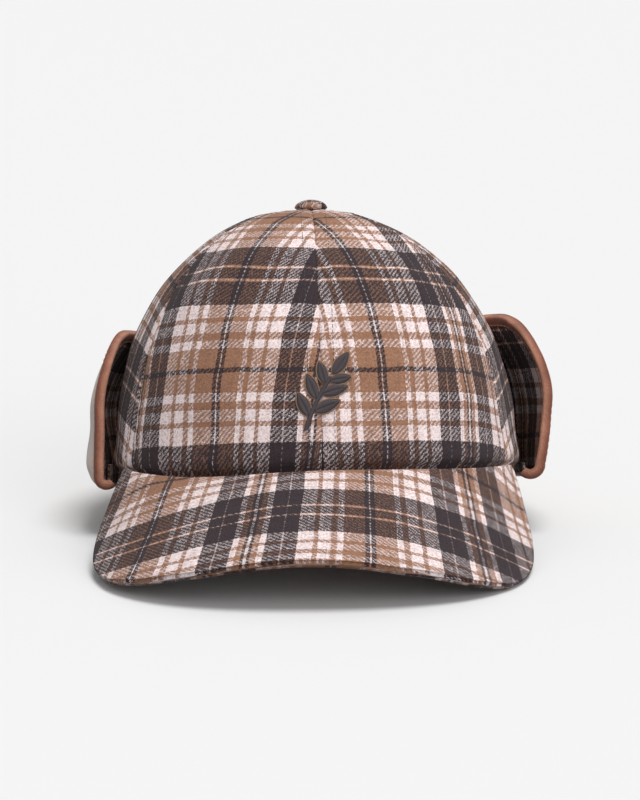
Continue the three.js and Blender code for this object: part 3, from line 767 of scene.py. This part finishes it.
class Weaver:
    # short ways to add and join nodes in one tree; a pair (a, b) for a value v gives a * v + b
    def __init__(self, tree):
        self.tree = tree

    def node(self, kind, inputs=None, **settings):
        made = self.tree.nodes.new(kind)
        for key, value in settings.items():
            setattr(made, key, value)
        for place, value in (inputs or {}).items():
            self.put(value, made.inputs[place])
        return made

    def put(self, value, socket):
        if isinstance(value, bpy.types.NodeSocket):
            self.tree.links.new(value, socket)
        else:
            socket.default_value = value

    def maths(self, operation, *values):
        return self.node("ShaderNodeMath", dict(enumerate(values)), operation=operation).outputs[0]

    def line(self, value, pair):
        return self.maths("MULTIPLY_ADD", value, *pair)

    def times(self, a, b):
        return self.maths("MULTIPLY", a, b)

    def plus(self, a, b):
        return self.maths("ADD", a, b)

    def limited(self, value, low, high):
        return self.maths("MINIMUM", self.maths("MAXIMUM", value, low), high)

    def vector(self, operation, a, b):
        return self.node("ShaderNodeVectorMath", {0: a, 1: b}, operation=operation).outputs[0]

    def scaled(self, vector, size):
        return self.node("ShaderNodeVectorMath", {0: vector, "Scale": size}, operation="SCALE").outputs[0]

    def split(self, vector):
        return self.node("ShaderNodeSeparateXYZ", {0: vector}).outputs

    def blend(self, share, a, b, kind="MIX"):
        sockets = {0: share, 6: a, 7: b}
        return self.node("ShaderNodeMix", sockets, data_type="RGBA", blend_type=kind).outputs[2]

    def either(self, share, a, b):
        return self.node("ShaderNodeMix", {0: share, 2: a, 3: b}, data_type="FLOAT").outputs[0]

    def noise(self, vector, scale, detail=2.0, rough=0.5, output="Fac"):
        sizes = {"Vector": vector, "Scale": scale, "Detail": detail, "Roughness": rough}
        return self.node("ShaderNodeTexNoise", sizes).outputs[output]

    def shake(self, vector, place, scale, size):
        # moves a place by noise, both ways, by about this much
        centred = self.vector("SUBTRACT", self.noise(place, scale, output="Color"), (0.5, 0.5, 0.5))
        return self.vector("ADD", vector, self.scaled(centred, size))

    def threadTone(self, number, seed):
        place = {"W": self.plus(number, seed)}
        return self.node("ShaderNodeTexWhiteNoise", place, noise_dimensions="1D").outputs["Value"]

    def clothPlace(self):
        return self.node("ShaderNodeUVMap", uv_map="cloth").outputs["UV"]

    def objectPlace(self):
        return self.node("ShaderNodeTexCoord").outputs["Object"]

    def stripes(self, place, half, table):
        # place in mm, mirrored about 0 and about the half repeat
        folded = self.maths("DIVIDE", self.maths("PINGPONG", place, half), half)
        ramp = self.node("ShaderNodeValToRGB", {"Fac": folded})
        ramp.color_ramp.interpolation = "CONSTANT"
        stops = ramp.color_ramp.elements
        stops[0].position, stops[0].color = 0, colour(plaidLook[table[0][1]])
        for k, (mm, name) in enumerate(table[1:]):
            stop = stops[1] if k == 0 else stops.new(mm / half)
            stop.position, stop.color = mm / half, colour(plaidLook[name])
        return ramp.outputs["Color"]


# scales are per mm of cloth; each pair (a, b) is a share that grows as a * value + b
# the gap values set how much painted shade lies in the gaps beside each thread
weaveLook = {"waviness": 4.0, "waveScale": 0.045, "fuzziness": 2.0, "fuzzScale": 1.9, "over": (0.88, 0.06),
             "gap": (-1.25, 1.38), "gapShadeTone": 0.28, "gapShadeMost": 0.92, "darkness": (-2.2, 1.1),
             "darkLeast": 0.1, "weftSeed": 500.5, "warpSeed": 0.5, "patchScale": 0.16, "fineScale": 2.6,
             "threadTone": (0.2, 0.72), "patchTone": 0.2, "fineTone": (0.7, -0.35),
             "crossingTone": (0.42, -0.14), "strayFrom": 0.45, "strayShare": 0.55, "strayColour": "B9A49C",
             "ribHeight": 0.5, "patchHeight": 0.8, "roughness": (0.2, 0.74)}


def plaidWeaveGroup():
    # a 2/2 twill of coloured threads, brushed: place in metres on the cloth, thread in mm
    number, look = "NodeSocketFloat", weaveLook
    w, given, made = newGroup("plaidWeave", "ShaderNodeTree", [
        ("Place", "NodeSocketVector", None), ("Thread", number, plaidLook["thread"]),
        ("Waviness", number, 0.5), ("Fuzz", number, 0.55), ("Nap", number, 0.3),
        ("Brightness", number, 1.0), ("Order", number, 0.93)],
        [("Color", "NodeSocketColor"), ("Height", number), ("Roughness", number)])
    flat = w.scaled(given["Place"], 1000)
    moved = w.shake(flat, flat, look["waveScale"], w.times(given["Waviness"], look["waviness"]))
    moved = w.shake(moved, flat, look["fuzzScale"], w.times(given["Fuzz"], look["fuzziness"]))
    parts, thread = w.split(moved), given["Thread"]
    warp = w.plus(w.maths("DIVIDE", parts["X"], thread), 0.5)
    weft = w.maths("DIVIDE", parts["Y"], thread)
    warpNumber, weftNumber = w.maths("FLOOR", warp), w.maths("FLOOR", weft)
    step = w.maths("FLOORED_MODULO", w.maths("SUBTRACT", warpNumber, weftNumber), 4.0)
    # now and then the brushing brings up the other thread
    numbers = w.node("ShaderNodeCombineXYZ", {0: warpNumber, 1: weftNumber}).outputs[0]
    crossing = w.node("ShaderNodeTexWhiteNoise", {"Vector": numbers}, noise_dimensions="2D").outputs
    tones = w.node("ShaderNodeSeparateColor", {0: crossing["Color"]}).outputs
    swapped = w.maths("GREATER_THAN", crossing["Value"], given["Order"])
    warpOnTop = w.maths("ABSOLUTE", w.maths("SUBTRACT", w.maths("LESS_THAN", step, 2.0), swapped))
    warpColour = w.stripes(w.times(warpNumber, thread), plaidLook["warpHalf"], warpStripes)
    weftColour = w.stripes(w.times(w.plus(weftNumber, 0.5), thread), plaidLook["weftHalf"], weftStripes)
    mixed = w.blend(w.line(warpOnTop, look["over"]), weftColour, warpColour)
    # the rounded top of whichever thread is over; in the gaps beside it the darker of the two colours is
    # painted in, partly the thread beneath and partly painted shade between the threads
    acrossWarp = w.maths("SINE", w.times(w.maths("FRACT", warp), math.pi))
    acrossWeft = w.maths("SINE", w.times(w.maths("FRACT", weft), math.pi))
    rib = w.either(warpOnTop, acrossWeft, acrossWarp)
    gapShade = w.maths("MAXIMUM", w.line(rib, look["gap"]), 0.0)
    gapShade = w.maths("MINIMUM", w.line(tones[1], (look["gapShadeTone"], gapShade)), look["gapShadeMost"])
    darker = w.blend(1.0, weftColour, warpColour, "DARKEN")
    # pale pairs get less of this painted shade and keep more of both colours
    darkness = w.limited(w.line(darker, look["darkness"]), look["darkLeast"], 1.0)
    mixed = w.blend(w.times(gapShade, darkness), mixed, darker)
    # threads differ a little, the nap is patchy, and stray fibres lie over the dark threads
    weftTone = w.threadTone(weftNumber, look["weftSeed"])
    warpTone = w.threadTone(warpNumber, look["warpSeed"])
    tone = w.either(warpOnTop, weftTone, warpTone)
    patch = w.noise(flat, look["patchScale"], 3.0, 0.6)
    fine = w.noise(flat, look["fineScale"], 2.0, 0.7)
    bright = w.plus(w.line(tone, look["threadTone"]), w.times(patch, look["patchTone"]))
    bright = w.plus(bright, w.line(fine, look["fineTone"]))
    bright = w.times(w.plus(bright, w.line(tones[0], look["crossingTone"])), given["Brightness"])
    stray = w.maths("SUBTRACT", fine, look["strayFrom"])
    stray = w.maths("MAXIMUM", w.times(stray, w.times(given["Nap"], look["strayShare"])), 0.0)
    w.put(w.blend(stray, w.scaled(mixed, bright), colour(look["strayColour"])), made["Color"])
    height = w.plus(w.times(rib, look["ribHeight"]), w.times(fine, given["Nap"]))
    w.put(w.plus(height, w.times(patch, look["patchHeight"])), made["Height"])
    w.put(w.line(fine, look["roughness"]), made["Roughness"])
    return w.tree


def newMaterial(name, constants):
    # constants are set on the shader's own sockets
    material = bpy.data.materials.new(name)
    material.use_nodes = True
    tree = material.node_tree
    shader = next(n for n in tree.nodes if n.type == "BSDF_PRINCIPLED")
    for label, value in constants.items():
        shader.inputs[label].default_value = value
    return material, Weaver(tree), shader.inputs


def bumpInto(w, shader, height, look):
    sizes = {"Strength": look["bump"], "Distance": look["bumpDepth"], "Height": height}
    w.put(w.node("ShaderNodeBump", sizes).outputs["Normal"], shader["Normal"])


woolFinish = {"Specular IOR Level": 0.25, "Sheen Weight": 0.1, "Sheen Roughness": 0.45,
              "Sheen Tint": colour("E8DDD6")}
woolLook = {"nap": 0.3, "bump": 0.8, "bumpDepth": 0.00022}
# each cloth's own waviness and brightness; the brightness differs between pieces of the one cloth as painted
# light and shade
wools = {"crownWool": (0.5, 1.43), "brimWool": (0.35, 1.34), "flapWool": (0.6, 1.5), "buttonWool": (0.2, 1.2)}


def woolMaterial(name, group):
    material, w, shader = newMaterial(name, woolFinish)
    # the piece's brightness paints light or shade onto the one plaid cloth
    waviness, brightness = wools[name]
    values = {"Place": w.clothPlace(), "Waviness": waviness, "Brightness": brightness, "Nap": woolLook["nap"]}
    weave = w.node("ShaderNodeGroup", values, node_tree=group)
    w.put(weave.outputs["Color"], shader["Base Color"])
    w.put(weave.outputs["Roughness"], shader["Roughness"])
    bumpInto(w, shader, weave.outputs["Height"], woolLook)
    return material


liningFinish = {"Sheen Weight": 0.3, "Sheen Roughness": 0.4}
liningColour = {"base": "E6D5CB", "shade": "CFBAAF", "thread": 0.3, "waveScale": 0.6, "wave": 0.25,
                "patchScale": 0.09, "fineScale": 2.4, "patchTone": 0.8, "threadTone": (0.14, -0.1),
                "fineTone": (0.4, -0.2), "roughness": (0.22, 0.55), "threadHeight": 0.35,
                "patchHeight": 1.5, "bump": 0.7, "bumpDepth": 0.00012}


def liningMaterial():
    # a fine soft plain weave, a little shiny, with faint cloudy patches
    look = liningColour
    material, w, shader = newMaterial("liningCloth", liningFinish)
    flat = w.scaled(w.clothPlace(), 1000)
    parts = w.split(w.shake(flat, flat, look["waveScale"], look["wave"]))
    turn = math.pi / look["thread"]
    across, up = (w.maths("SINE", w.times(parts[axis], turn)) for axis in ("X", "Y"))
    weave = w.times(across, up)
    patch = w.noise(flat, look["patchScale"], 4.0, 0.6)
    fine = w.noise(flat, look["fineScale"], 2.0, 0.6)
    share = w.plus(w.times(patch, look["patchTone"]), w.line(weave, look["threadTone"]))
    share = w.plus(share, w.line(fine, look["fineTone"]))
    w.put(w.blend(share, colour(look["shade"]), colour(look["base"])), shader["Base Color"])
    w.put(w.line(fine, look["roughness"]), shader["Roughness"])
    height = w.plus(fine, w.times(patch, look["patchHeight"]))
    bumpInto(w, shader, w.plus(w.times(weave, look["threadHeight"]), height), look)
    return material


leatherFinish = {"Specular IOR Level": 0.35, "Sheen Weight": 0.12}
# the palest colour is a painted highlight laid along the fold, and the deep colour also paints shade towards
# the strip's edges
leatherColour = {"base": "B87057", "deep": "6E3E2D", "highlightColour": "E6AC90", "shakeScale": 500.0, "shake": 0.0012,
                 "pebbles": 950, "pebbleEdge": 4.0, "cloudScale": 90, "fineScale": 2600, "dye": (1.7, -0.35),
                 "foldHighlight": (-480.0, 1.0), "foldHighlightCloud": (1.3, -0.05), "foldHighlightShare": 0.85,
                 "shaded": (420.0, -0.75), "shadedMost": 0.55, "crease": (-0.35, 0.35),
                 "roughness": (0.25, 0.5), "fineRoughness": 0.12, "cloudHeight": 3.0, "bump": 0.9,
                 "bumpDepth": 0.00022}


def leatherMaterial():
    # soft brushed leather: pebbled grain, cloudy dye, a painted highlight along the fold and painted shade
    # towards the edges
    look = leatherColour
    base, deep, pale = (colour(look[key]) for key in ("base", "deep", "highlightColour"))
    material, w, shader = newMaterial("bindingLeather", leatherFinish)
    place = w.objectPlace()
    grain = {"Vector": w.shake(place, place, look["shakeScale"], look["shake"]), "Scale": look["pebbles"]}
    pebbles = w.node("ShaderNodeTexVoronoi", grain, feature="DISTANCE_TO_EDGE")
    crease = w.maths("MINIMUM", w.times(pebbles.outputs["Distance"], look["pebbleEdge"]), 1.0)
    cloud = w.noise(place, look["cloudScale"], 4.0, 0.65)
    fine = w.noise(place, look["fineScale"], 2.0, 0.6)
    dye = w.blend(w.line(cloud, look["dye"]), deep, base)
    # the strip's own across-coordinate: its middle lies over the flap's edge
    across = w.split(w.clothPlace())["Y"]
    fromFold = w.maths("ABSOLUTE", w.maths("SUBTRACT", across, bindingLook["foldAt"] / 1000))
    # a painted highlight along the middle of the strip, over the fold, cloudy in places
    foldHighlight = w.maths("MAXIMUM", w.line(fromFold, look["foldHighlight"]), 0.0)
    foldHighlight = w.times(foldHighlight, w.line(cloud, look["foldHighlightCloud"]))
    # painted shade, growing away from the fold towards the strip's edges
    shaded = w.limited(w.line(fromFold, look["shaded"]), 0.0, look["shadedMost"])
    creasedAndShaded = w.blend(shaded, w.blend(w.line(crease, look["crease"]), dye, deep), deep)
    # the painted highlight is laid over the grain, the dye and the painted shade
    w.put(w.blend(w.times(foldHighlight, look["foldHighlightShare"]), creasedAndShaded, pale), shader["Base Color"])
    rough = w.plus(w.line(cloud, look["roughness"]), w.times(fine, look["fineRoughness"]))
    w.put(rough, shader["Roughness"])
    bumpInto(w, shader, w.plus(crease, w.plus(fine, w.times(cloud, look["cloudHeight"]))), look)
    return material


threadFinish = {"Sheen Weight": 0.2}
threadLook = {"slant": 9000.0, "twist": 5000.0, "fineScale": 1500, "strandTone": 0.55, "fineTone": 0.45,
              "roughness": (0.25, 0.5), "bump": 0.6, "bumpDepth": 0.00006}
# each thread's pale and deep colour
threads = {"bindingThread": ("D9B396", "9C7050"), "seamThread": ("4A3A38", "2B2122"),
           "sprigThread": ("564B50", "2C2528"), "sprigEdge": ("A17E62", "6E5240")}


def threadMaterial(name):
    # twisted sewing thread: its strands show as slanted lines
    look = threadLook
    pale, deep = (colour(code) for code in threads[name])
    material, w, shader = newMaterial(name, threadFinish)
    place = w.objectPlace()
    parts = w.split(place)
    slant = w.plus(w.times(parts["X"], look["slant"]), w.times(parts["Z"], look["slant"]))
    slant = w.plus(slant, w.times(parts["Y"], look["twist"]))
    strand = w.line(w.maths("SINE", slant), (0.5, 0.5))
    fine = w.noise(place, look["fineScale"], 2.0, 0.6)
    share = w.line(strand, (look["strandTone"], w.times(fine, look["fineTone"])))
    w.put(w.blend(share, deep, pale), shader["Base Color"])
    w.put(w.line(fine, look["roughness"]), shader["Roughness"])
    bumpInto(w, shader, strand, look)
    return material


# trees that sew along lines of points, with sizes in metres
def lineTree(name, sizes):
    sockets = [("Geometry", "NodeSocketGeometry", None)]
    sockets += [(label, "NodeSocketFloat", value) for label, value in sizes.items()]
    sockets += [("Seed", "NodeSocketInt", 3), ("Thread", "NodeSocketMaterial", None)]
    w, given, made = newGroup(name, "GeometryNodeTree", sockets, [("Geometry", "NodeSocketGeometry")])
    return w, given, made, w.node("GeometryNodeMeshToCurve", {0: given["Geometry"]}).outputs[0]


def stitchTree():
    # short rounded stitches, one after the other
    w, given, made, curve = lineTree("stitchRow", {"Spacing": 0.0033, "Length": 0.0024, "Width": 0.0005,
                                                   "Unevenness": 0.08})
    places = w.node("GeometryNodeResampleCurve", {"Curve": curve, "Length": given["Spacing"]}, mode="LENGTH")
    stitch = w.node("GeometryNodeMeshUVSphere", {"Segments": 8, "Rings": 6, "Radius": 0.5})
    rounded = w.node("GeometryNodeSetShadeSmooth", {0: stitch.outputs["Mesh"]})
    facing = w.node("GeometryNodeInputNamedAttribute", {"Name": "facing"}, data_type="FLOAT_VECTOR")
    axes = {"Primary Axis": facing.outputs["Attribute"],
            "Secondary Axis": w.node("GeometryNodeInputTangent").outputs[0]}
    turn = w.node("FunctionNodeAxesToRotation", axes, primary_axis="Z", secondary_axis="X")
    least, most = w.maths("SUBTRACT", 1.0, given["Unevenness"]), w.plus(1.0, given["Unevenness"])
    varied = w.node("FunctionNodeRandomValue", {2: least, 3: most, "Seed": given["Seed"]}, data_type="FLOAT")
    long = w.times(given["Length"], varied.outputs[1])
    size = w.node("ShaderNodeCombineXYZ", {0: long, 1: given["Width"], 2: given["Width"]})
    placed = w.node("GeometryNodeInstanceOnPoints", {
        "Points": places.outputs["Curve"], "Instance": rounded.outputs[0], "Rotation": turn.outputs[0],
        "Scale": size.outputs[0]})
    real = w.node("GeometryNodeRealizeInstances", {0: placed.outputs[0]})
    coloured = w.node("GeometryNodeSetMaterial", {"Geometry": real.outputs[0], "Material": given["Thread"]})
    w.put(coloured.outputs[0], made[0])
    return w.tree


def cordTree():
    # a thread drawn along every line, slightly uneven in its way
    w, given, made, curve = lineTree("threadCord", {"Radius": 0.00024, "Unevenness": 0.00005})
    varied = w.node("FunctionNodeRandomValue", {0: (-1, -1, -1), 1: (1, 1, 1), "Seed": given["Seed"]},
                    data_type="FLOAT_VECTOR")
    offset = w.scaled(varied.outputs[0], given["Unevenness"])
    moved = w.node("GeometryNodeSetPosition", {"Geometry": curve, "Offset": offset})
    ring = w.node("GeometryNodeCurvePrimitiveCircle", {"Resolution": 6, "Radius": given["Radius"]})
    swept = w.node("GeometryNodeCurveToMesh", {"Curve": moved.outputs[0], "Profile Curve": ring.outputs[0],
                                               "Fill Caps": True})
    rounded = w.node("GeometryNodeSetShadeSmooth", {0: swept.outputs[0]})
    real = w.node("GeometryNodeRealizeInstances", {0: rounded.outputs[0]})
    coloured = w.node("GeometryNodeSetMaterial", {"Geometry": real.outputs[0], "Material": given["Thread"]})
    w.put(coloured.outputs[0], made[0])
    return w.tree


def growOn(name, lines, tree, values, facings=None):
    # runs a node tree over lines of points, in metres, and keeps what it makes as one plain mesh
    points = np.concatenate(lines)
    edges, first = [], 0
    for line in lines:
        edges += [(first + i, first + i + 1) for i in range(len(line) - 1)]
        first += len(line)
    path = bpy.data.meshes.new(name + "Path")
    path.from_pydata([tuple(p) for p in points], edges, [])
    if facings is not None:
        attribute = path.attributes.new("facing", "FLOAT_VECTOR", "POINT")
        attribute.data.foreach_set("vector", np.concatenate(facings).astype(np.float32).ravel())
    carrier = bpy.data.objects.new(name + "Path", path)
    bpy.context.scene.collection.objects.link(carrier)
    modifier = carrier.modifiers.new("grown", "NODES")
    modifier.node_group = tree
    for item in tree.interface.items_tree:
        if item.item_type == "SOCKET" and item.in_out == "INPUT" and item.name in values:
            modifier[item.identifier] = values[item.name]
    bpy.context.view_layer.update()
    evaluated = carrier.evaluated_get(bpy.context.evaluated_depsgraph_get())
    mesh = bpy.data.meshes.new_from_object(evaluated)
    mesh.name = name
    carrier.modifiers.remove(modifier)
    bpy.data.objects.remove(carrier)
    return settle(name, mesh)


def sewRows(name, rows, tree, thread, look, seed):
    # rows: (points, facings) of each line of stitches
    values = {label: look[label.lower()] / 1000 for label in ("Spacing", "Length", "Width")}
    values.update({"Unevenness": look["uneven"], "Seed": seed, "Thread": thread})
    return growOn(name, [r[0] for r in rows], tree, values, [r[1] for r in rows])


def turnToWorld(directions):
    return unit(toWorld(directions) - toWorld(np.zeros(3)))


bindingStitches = {"into": 3.3, "spacing": 3.0, "length": 2.3, "width": 0.42, "uneven": 0.07, "lift": 0.06,
                   "endsLeft": 3}


def bindingThread(tree, thread):
    # a row along each side of the strip
    look, edge = bindingStitches, edgeFrame()
    outer = bandMiddle + bindingLook["clearance"] + bindingLook["wall"] + look["lift"]
    kept = slice(look["endsLeft"], -look["endsLeft"])
    rows = []
    for side in (1, -1):
        points = onBinding(edge, look["into"], side * outer)[kept]
        rows.append((toWorld(points), turnToWorld(edge["normal"][kept] * side)))
    return sewRows("bindingStitches", rows, tree, thread, look, seeds["stitches"])


seamStitches = {"beside": 5.4, "besideMost": 0.3, "spacing": 2.5, "length": 2.15, "width": 0.34,
                "uneven": 0.1, "sunk": 0.02, "lowest": 1.5, "fromTop": 1.6, "steps": 90, "narrowest": 9}


def seamThread(tree, thread):
    # a row to each side of every seam of the crown, from the hem to the button
    look = seamStitches
    rises = np.linspace(look["lowest"], crown["height"] - look["fromTop"], look["steps"])
    lift = liftAt(rises)
    radius = np.maximum(radiusAt(lift), 1)
    rows = []
    for index, ends in enumerate(zip(panelEnds[:-1], panelEnds[1:])):
        start, end = (math.radians(angle) for angle in ends)
        for edge, side in ((start, 1), (end, -1)):
            beside = np.minimum(look["beside"], look["besideMost"] * radius * (end - start))
            azimuth = edge + side * beside / radius
            plain = crownPoint(azimuth, lift, 0 * lift)
            roll, curl, pucker, wrinkle = crownDepth(plain, azimuth, lift, rises, beside, index)
            line = crownPoint(azimuth, lift, roll + curl - pucker - wrinkle + look["sunk"])
            kept = radius > look["narrowest"]
            rows.append((toWorld(line[kept]), turnToWorld(crownNormal(azimuth, lift)[kept])))
    return sewRows("seamStitches", rows, tree, thread, look, seeds["seams"])


# a small sprig in satin stitch over the front seam: its stem and leaves in mm from its middle, across and up
sprig = {"middle": 29, "stem": [(-6.5, -15), (-2.5, -2), (4.5, 7.5)], "stemWidth": 1.5, "stemLength": 27,
         "stemEnd": 0.97, "stemSlant": 0.4, "closeness": 0.4, "threadPoints": 5, "bulge": (0.12, 0.92),
         "depth": 0.25, "puff": 0.7, "slant": 0.1, "leafTurn": -46, "leafGap": 0.9, "leafSpan": (0.03, 0.9),
         "leafShape": (0.85, 0.8), "outlineDepth": 0.35, "outlineOut": 0.42, "outlineLong": 1.05,
         "outlinePoints": 26}
sprigStrands = {"fill": {"Radius": 0.00025, "Unevenness": 0.00003},
                "outline": {"Radius": 0.0003, "Unevenness": 0.00002}}
# each leaf: its place along the stem, the side it turns to, its length and its width
sprigLeaves = [(0.2, -1, 10.0, 4.4), (0.3, 1, 11.0, 4.6), (0.5, -1, 10.5, 4.4), (0.62, 1, 10.5, 4.4),
               (0.8, -1, 9.0, 3.9), (0.88, 1, 8.5, 3.8), (1.0, 0, 10.5, 4.4)]


def onCrownFront(line, out):
    across, up = line[:, 0], line[:, 1]
    lift = liftAt(sprig["middle"] + up)
    azimuth = np.mod(across / radiusAt(lift), 2 * math.pi)
    plain = crownPoint(azimuth, lift, 0 * lift)
    wrinkle = crownDepth(plain, azimuth, lift, sprig["middle"] + up, np.abs(across), 0)[3]
    return toWorld(crownPoint(azimuth, lift, -wrinkle - out))


def stemPlace(t):
    a, b, c = (np.array(p, float) for p in sprig["stem"])
    place = a * (1 - t) ** 2 + b * 2 * t * (1 - t) + c * t * t
    way = 2 * (b - a) * (1 - t) + 2 * (c - b) * t
    return place, way / np.linalg.norm(way)


def leafHalf(width, s):
    first, second = sprig["leafShape"]
    return width / 2 * np.sin(math.pi * np.clip(s, 0, 1) ** first) ** second


def sprigThreads(tree, thread, outlineThread):
    look, fills, outlines = sprig, [], []
    count = look["threadPoints"]
    bulge = np.sin(np.linspace(*look["bulge"], count) * math.pi)

    def lay(start, end):
        line = start + (end - start) * np.linspace(0, 1, count)[:, None]
        fills.append(onCrownFront(line, look["depth"] + look["puff"] * bulge))

    for t in np.linspace(0, look["stemEnd"], int(look["stemLength"] / look["closeness"])):
        place, way = stemPlace(t)
        side = np.array([way[1], -way[0]]) * look["stemWidth"] / 2
        lay(place - side - way * look["stemSlant"], place + side + way * look["stemSlant"])
    for t, turn, length, width in sprigLeaves:
        base, way = stemPlace(t)
        lean = math.radians(look["leafTurn"] * turn)
        way = np.array([way[0] * math.cos(lean) - way[1] * math.sin(lean),
                        way[0] * math.sin(lean) + way[1] * math.cos(lean)])
        side = np.array([way[1], -way[0]])
        base = base + way * look["leafGap"]
        for s in np.linspace(*look["leafSpan"], int(length / look["closeness"])):
            reach = min(s + look["slant"], 0.99)
            for hand in (-1, 1):
                tip = base + way * length * reach + side * hand * leafHalf(width, reach)
                lay(base + way * length * s, tip)
        s = np.linspace(0, 1, look["outlinePoints"])
        middle = base + way * (length * s[:, None] * look["outlineLong"])
        reach = side * (leafHalf(width, s) + look["outlineOut"])[:, None]
        ring = np.concatenate([middle + reach, (middle - reach)[::-1]])
        outlines.append(onCrownFront(ring, look["outlineDepth"]))
    values = {**sprigStrands["fill"], "Seed": seeds["leaves"], "Thread": thread}
    growOn("sprigFill", fills, tree, values)
    values = {**sprigStrands["outline"], "Seed": seeds["outlines"], "Thread": outlineThread}
    growOn("sprigOutline", outlines, tree, values)


# everything is made here
print("weaving the cloth")
plaidWeave = plaidWeaveGroup()
crownWool, brimWool, flapWool, buttonWool = (woolMaterial(name, plaidWeave) for name in wools)
lining = liningMaterial()
print("cutting the crown")
for index, node in enumerate(panelLook):
    crownPanel(index, node, crownWool)
brimCloth(brimWool)
clothButton(buttonWool)
print("folding the earflaps")
earflapCloth(flapWool)
earflapLining(lining)
print("binding and stitching")
leatherBinding(leatherMaterial())
stitches = stitchTree()
bindingThread(stitches, threadMaterial("bindingThread"))
seamThread(stitches, threadMaterial("seamThread"))
sprigThreads(cordTree(), threadMaterial("sprigThread"), threadMaterial("sprigEdge"))

# floor, light and camera
studio = {"floor": "F2F2F2", "bounce": "B0B0B2", "halfSize": 30, "world": 0.38, "key": 1.8, "keySoftness": 30,
          "keyFrom": (0.2, -0.12, 1.0), "fill": 0.85, "fillSoftness": 45, "fillFrom": (0.5, -1.0, 0.45)}
paperFinish = {"Roughness": 0.9, "Specular IOR Level": 0.1}
cameraPlace = {"azimuth": 1.5, "elevation": 11, "distance": 1.7, "lens": 177.9, "film": 36,
               "target": (-0.00137, 0, 0.06)}


def pointAt(thing, direction):
    thing.rotation_euler = Vector(direction).to_track_quat("-Z", "Y").to_euler()


def layFloor():
    mesh = bpy.data.meshes.new("studioFloor")
    size = studio["halfSize"]
    corners = [(-size, -size, 0), (size, -size, 0), (size, size, 0), (-size, size, 0)]
    mesh.from_pydata(corners, [], [(0, 1, 2, 3)])
    floor = bpy.data.objects.new("studioFloor", mesh)
    bpy.context.scene.collection.objects.link(floor)
    material, w, shader = newMaterial("studioPaper", paperFinish)
    # it throws back less light than it shows
    seen = w.node("ShaderNodeLightPath").outputs["Is Camera Ray"]
    w.put(w.blend(seen, colour(studio["bounce"]), colour(studio["floor"])), shader["Base Color"])
    mesh.materials.append(material)


def addSun(name, strength, softness, fromWhere):
    light = bpy.data.lights.new(name, "SUN")
    light.energy = strength
    light.angle = math.radians(softness)
    sun = bpy.data.objects.new(name, light)
    pointAt(sun, -Vector(fromWhere))
    bpy.context.scene.collection.objects.link(sun)


def addCamera():
    turn, tilt = math.radians(cameraPlace["azimuth"]), math.radians(cameraPlace["elevation"])
    forward = Vector((math.sin(turn) * math.cos(tilt), math.cos(turn) * math.cos(tilt), -math.sin(tilt)))
    data = bpy.data.cameras.new("photoCamera")
    data.lens = cameraPlace["lens"]
    data.sensor_width = cameraPlace["film"]
    camera = bpy.data.objects.new("photoCamera", data)
    camera.location = Vector(cameraPlace["target"]) - forward * cameraPlace["distance"]
    pointAt(camera, forward)
    bpy.context.scene.collection.objects.link(camera)
    bpy.context.scene.camera = camera


print("setting the studio")
layFloor()
world = bpy.data.worlds.new("studioWorld")
bpy.context.scene.world = world
world.use_nodes = True
sky = next(n for n in world.node_tree.nodes if n.type == "BACKGROUND")
sky.inputs["Color"].default_value = (1, 1, 1, 1)
sky.inputs["Strength"].default_value = studio["world"]
addSun("keyLight", studio["key"], studio["keySoftness"], studio["keyFrom"])
addSun("fillLight", studio["fill"], studio["fillSoftness"], studio["fillFrom"])
addCamera()
bpy.context.scene.view_settings.view_transform = "Standard"

print("done")
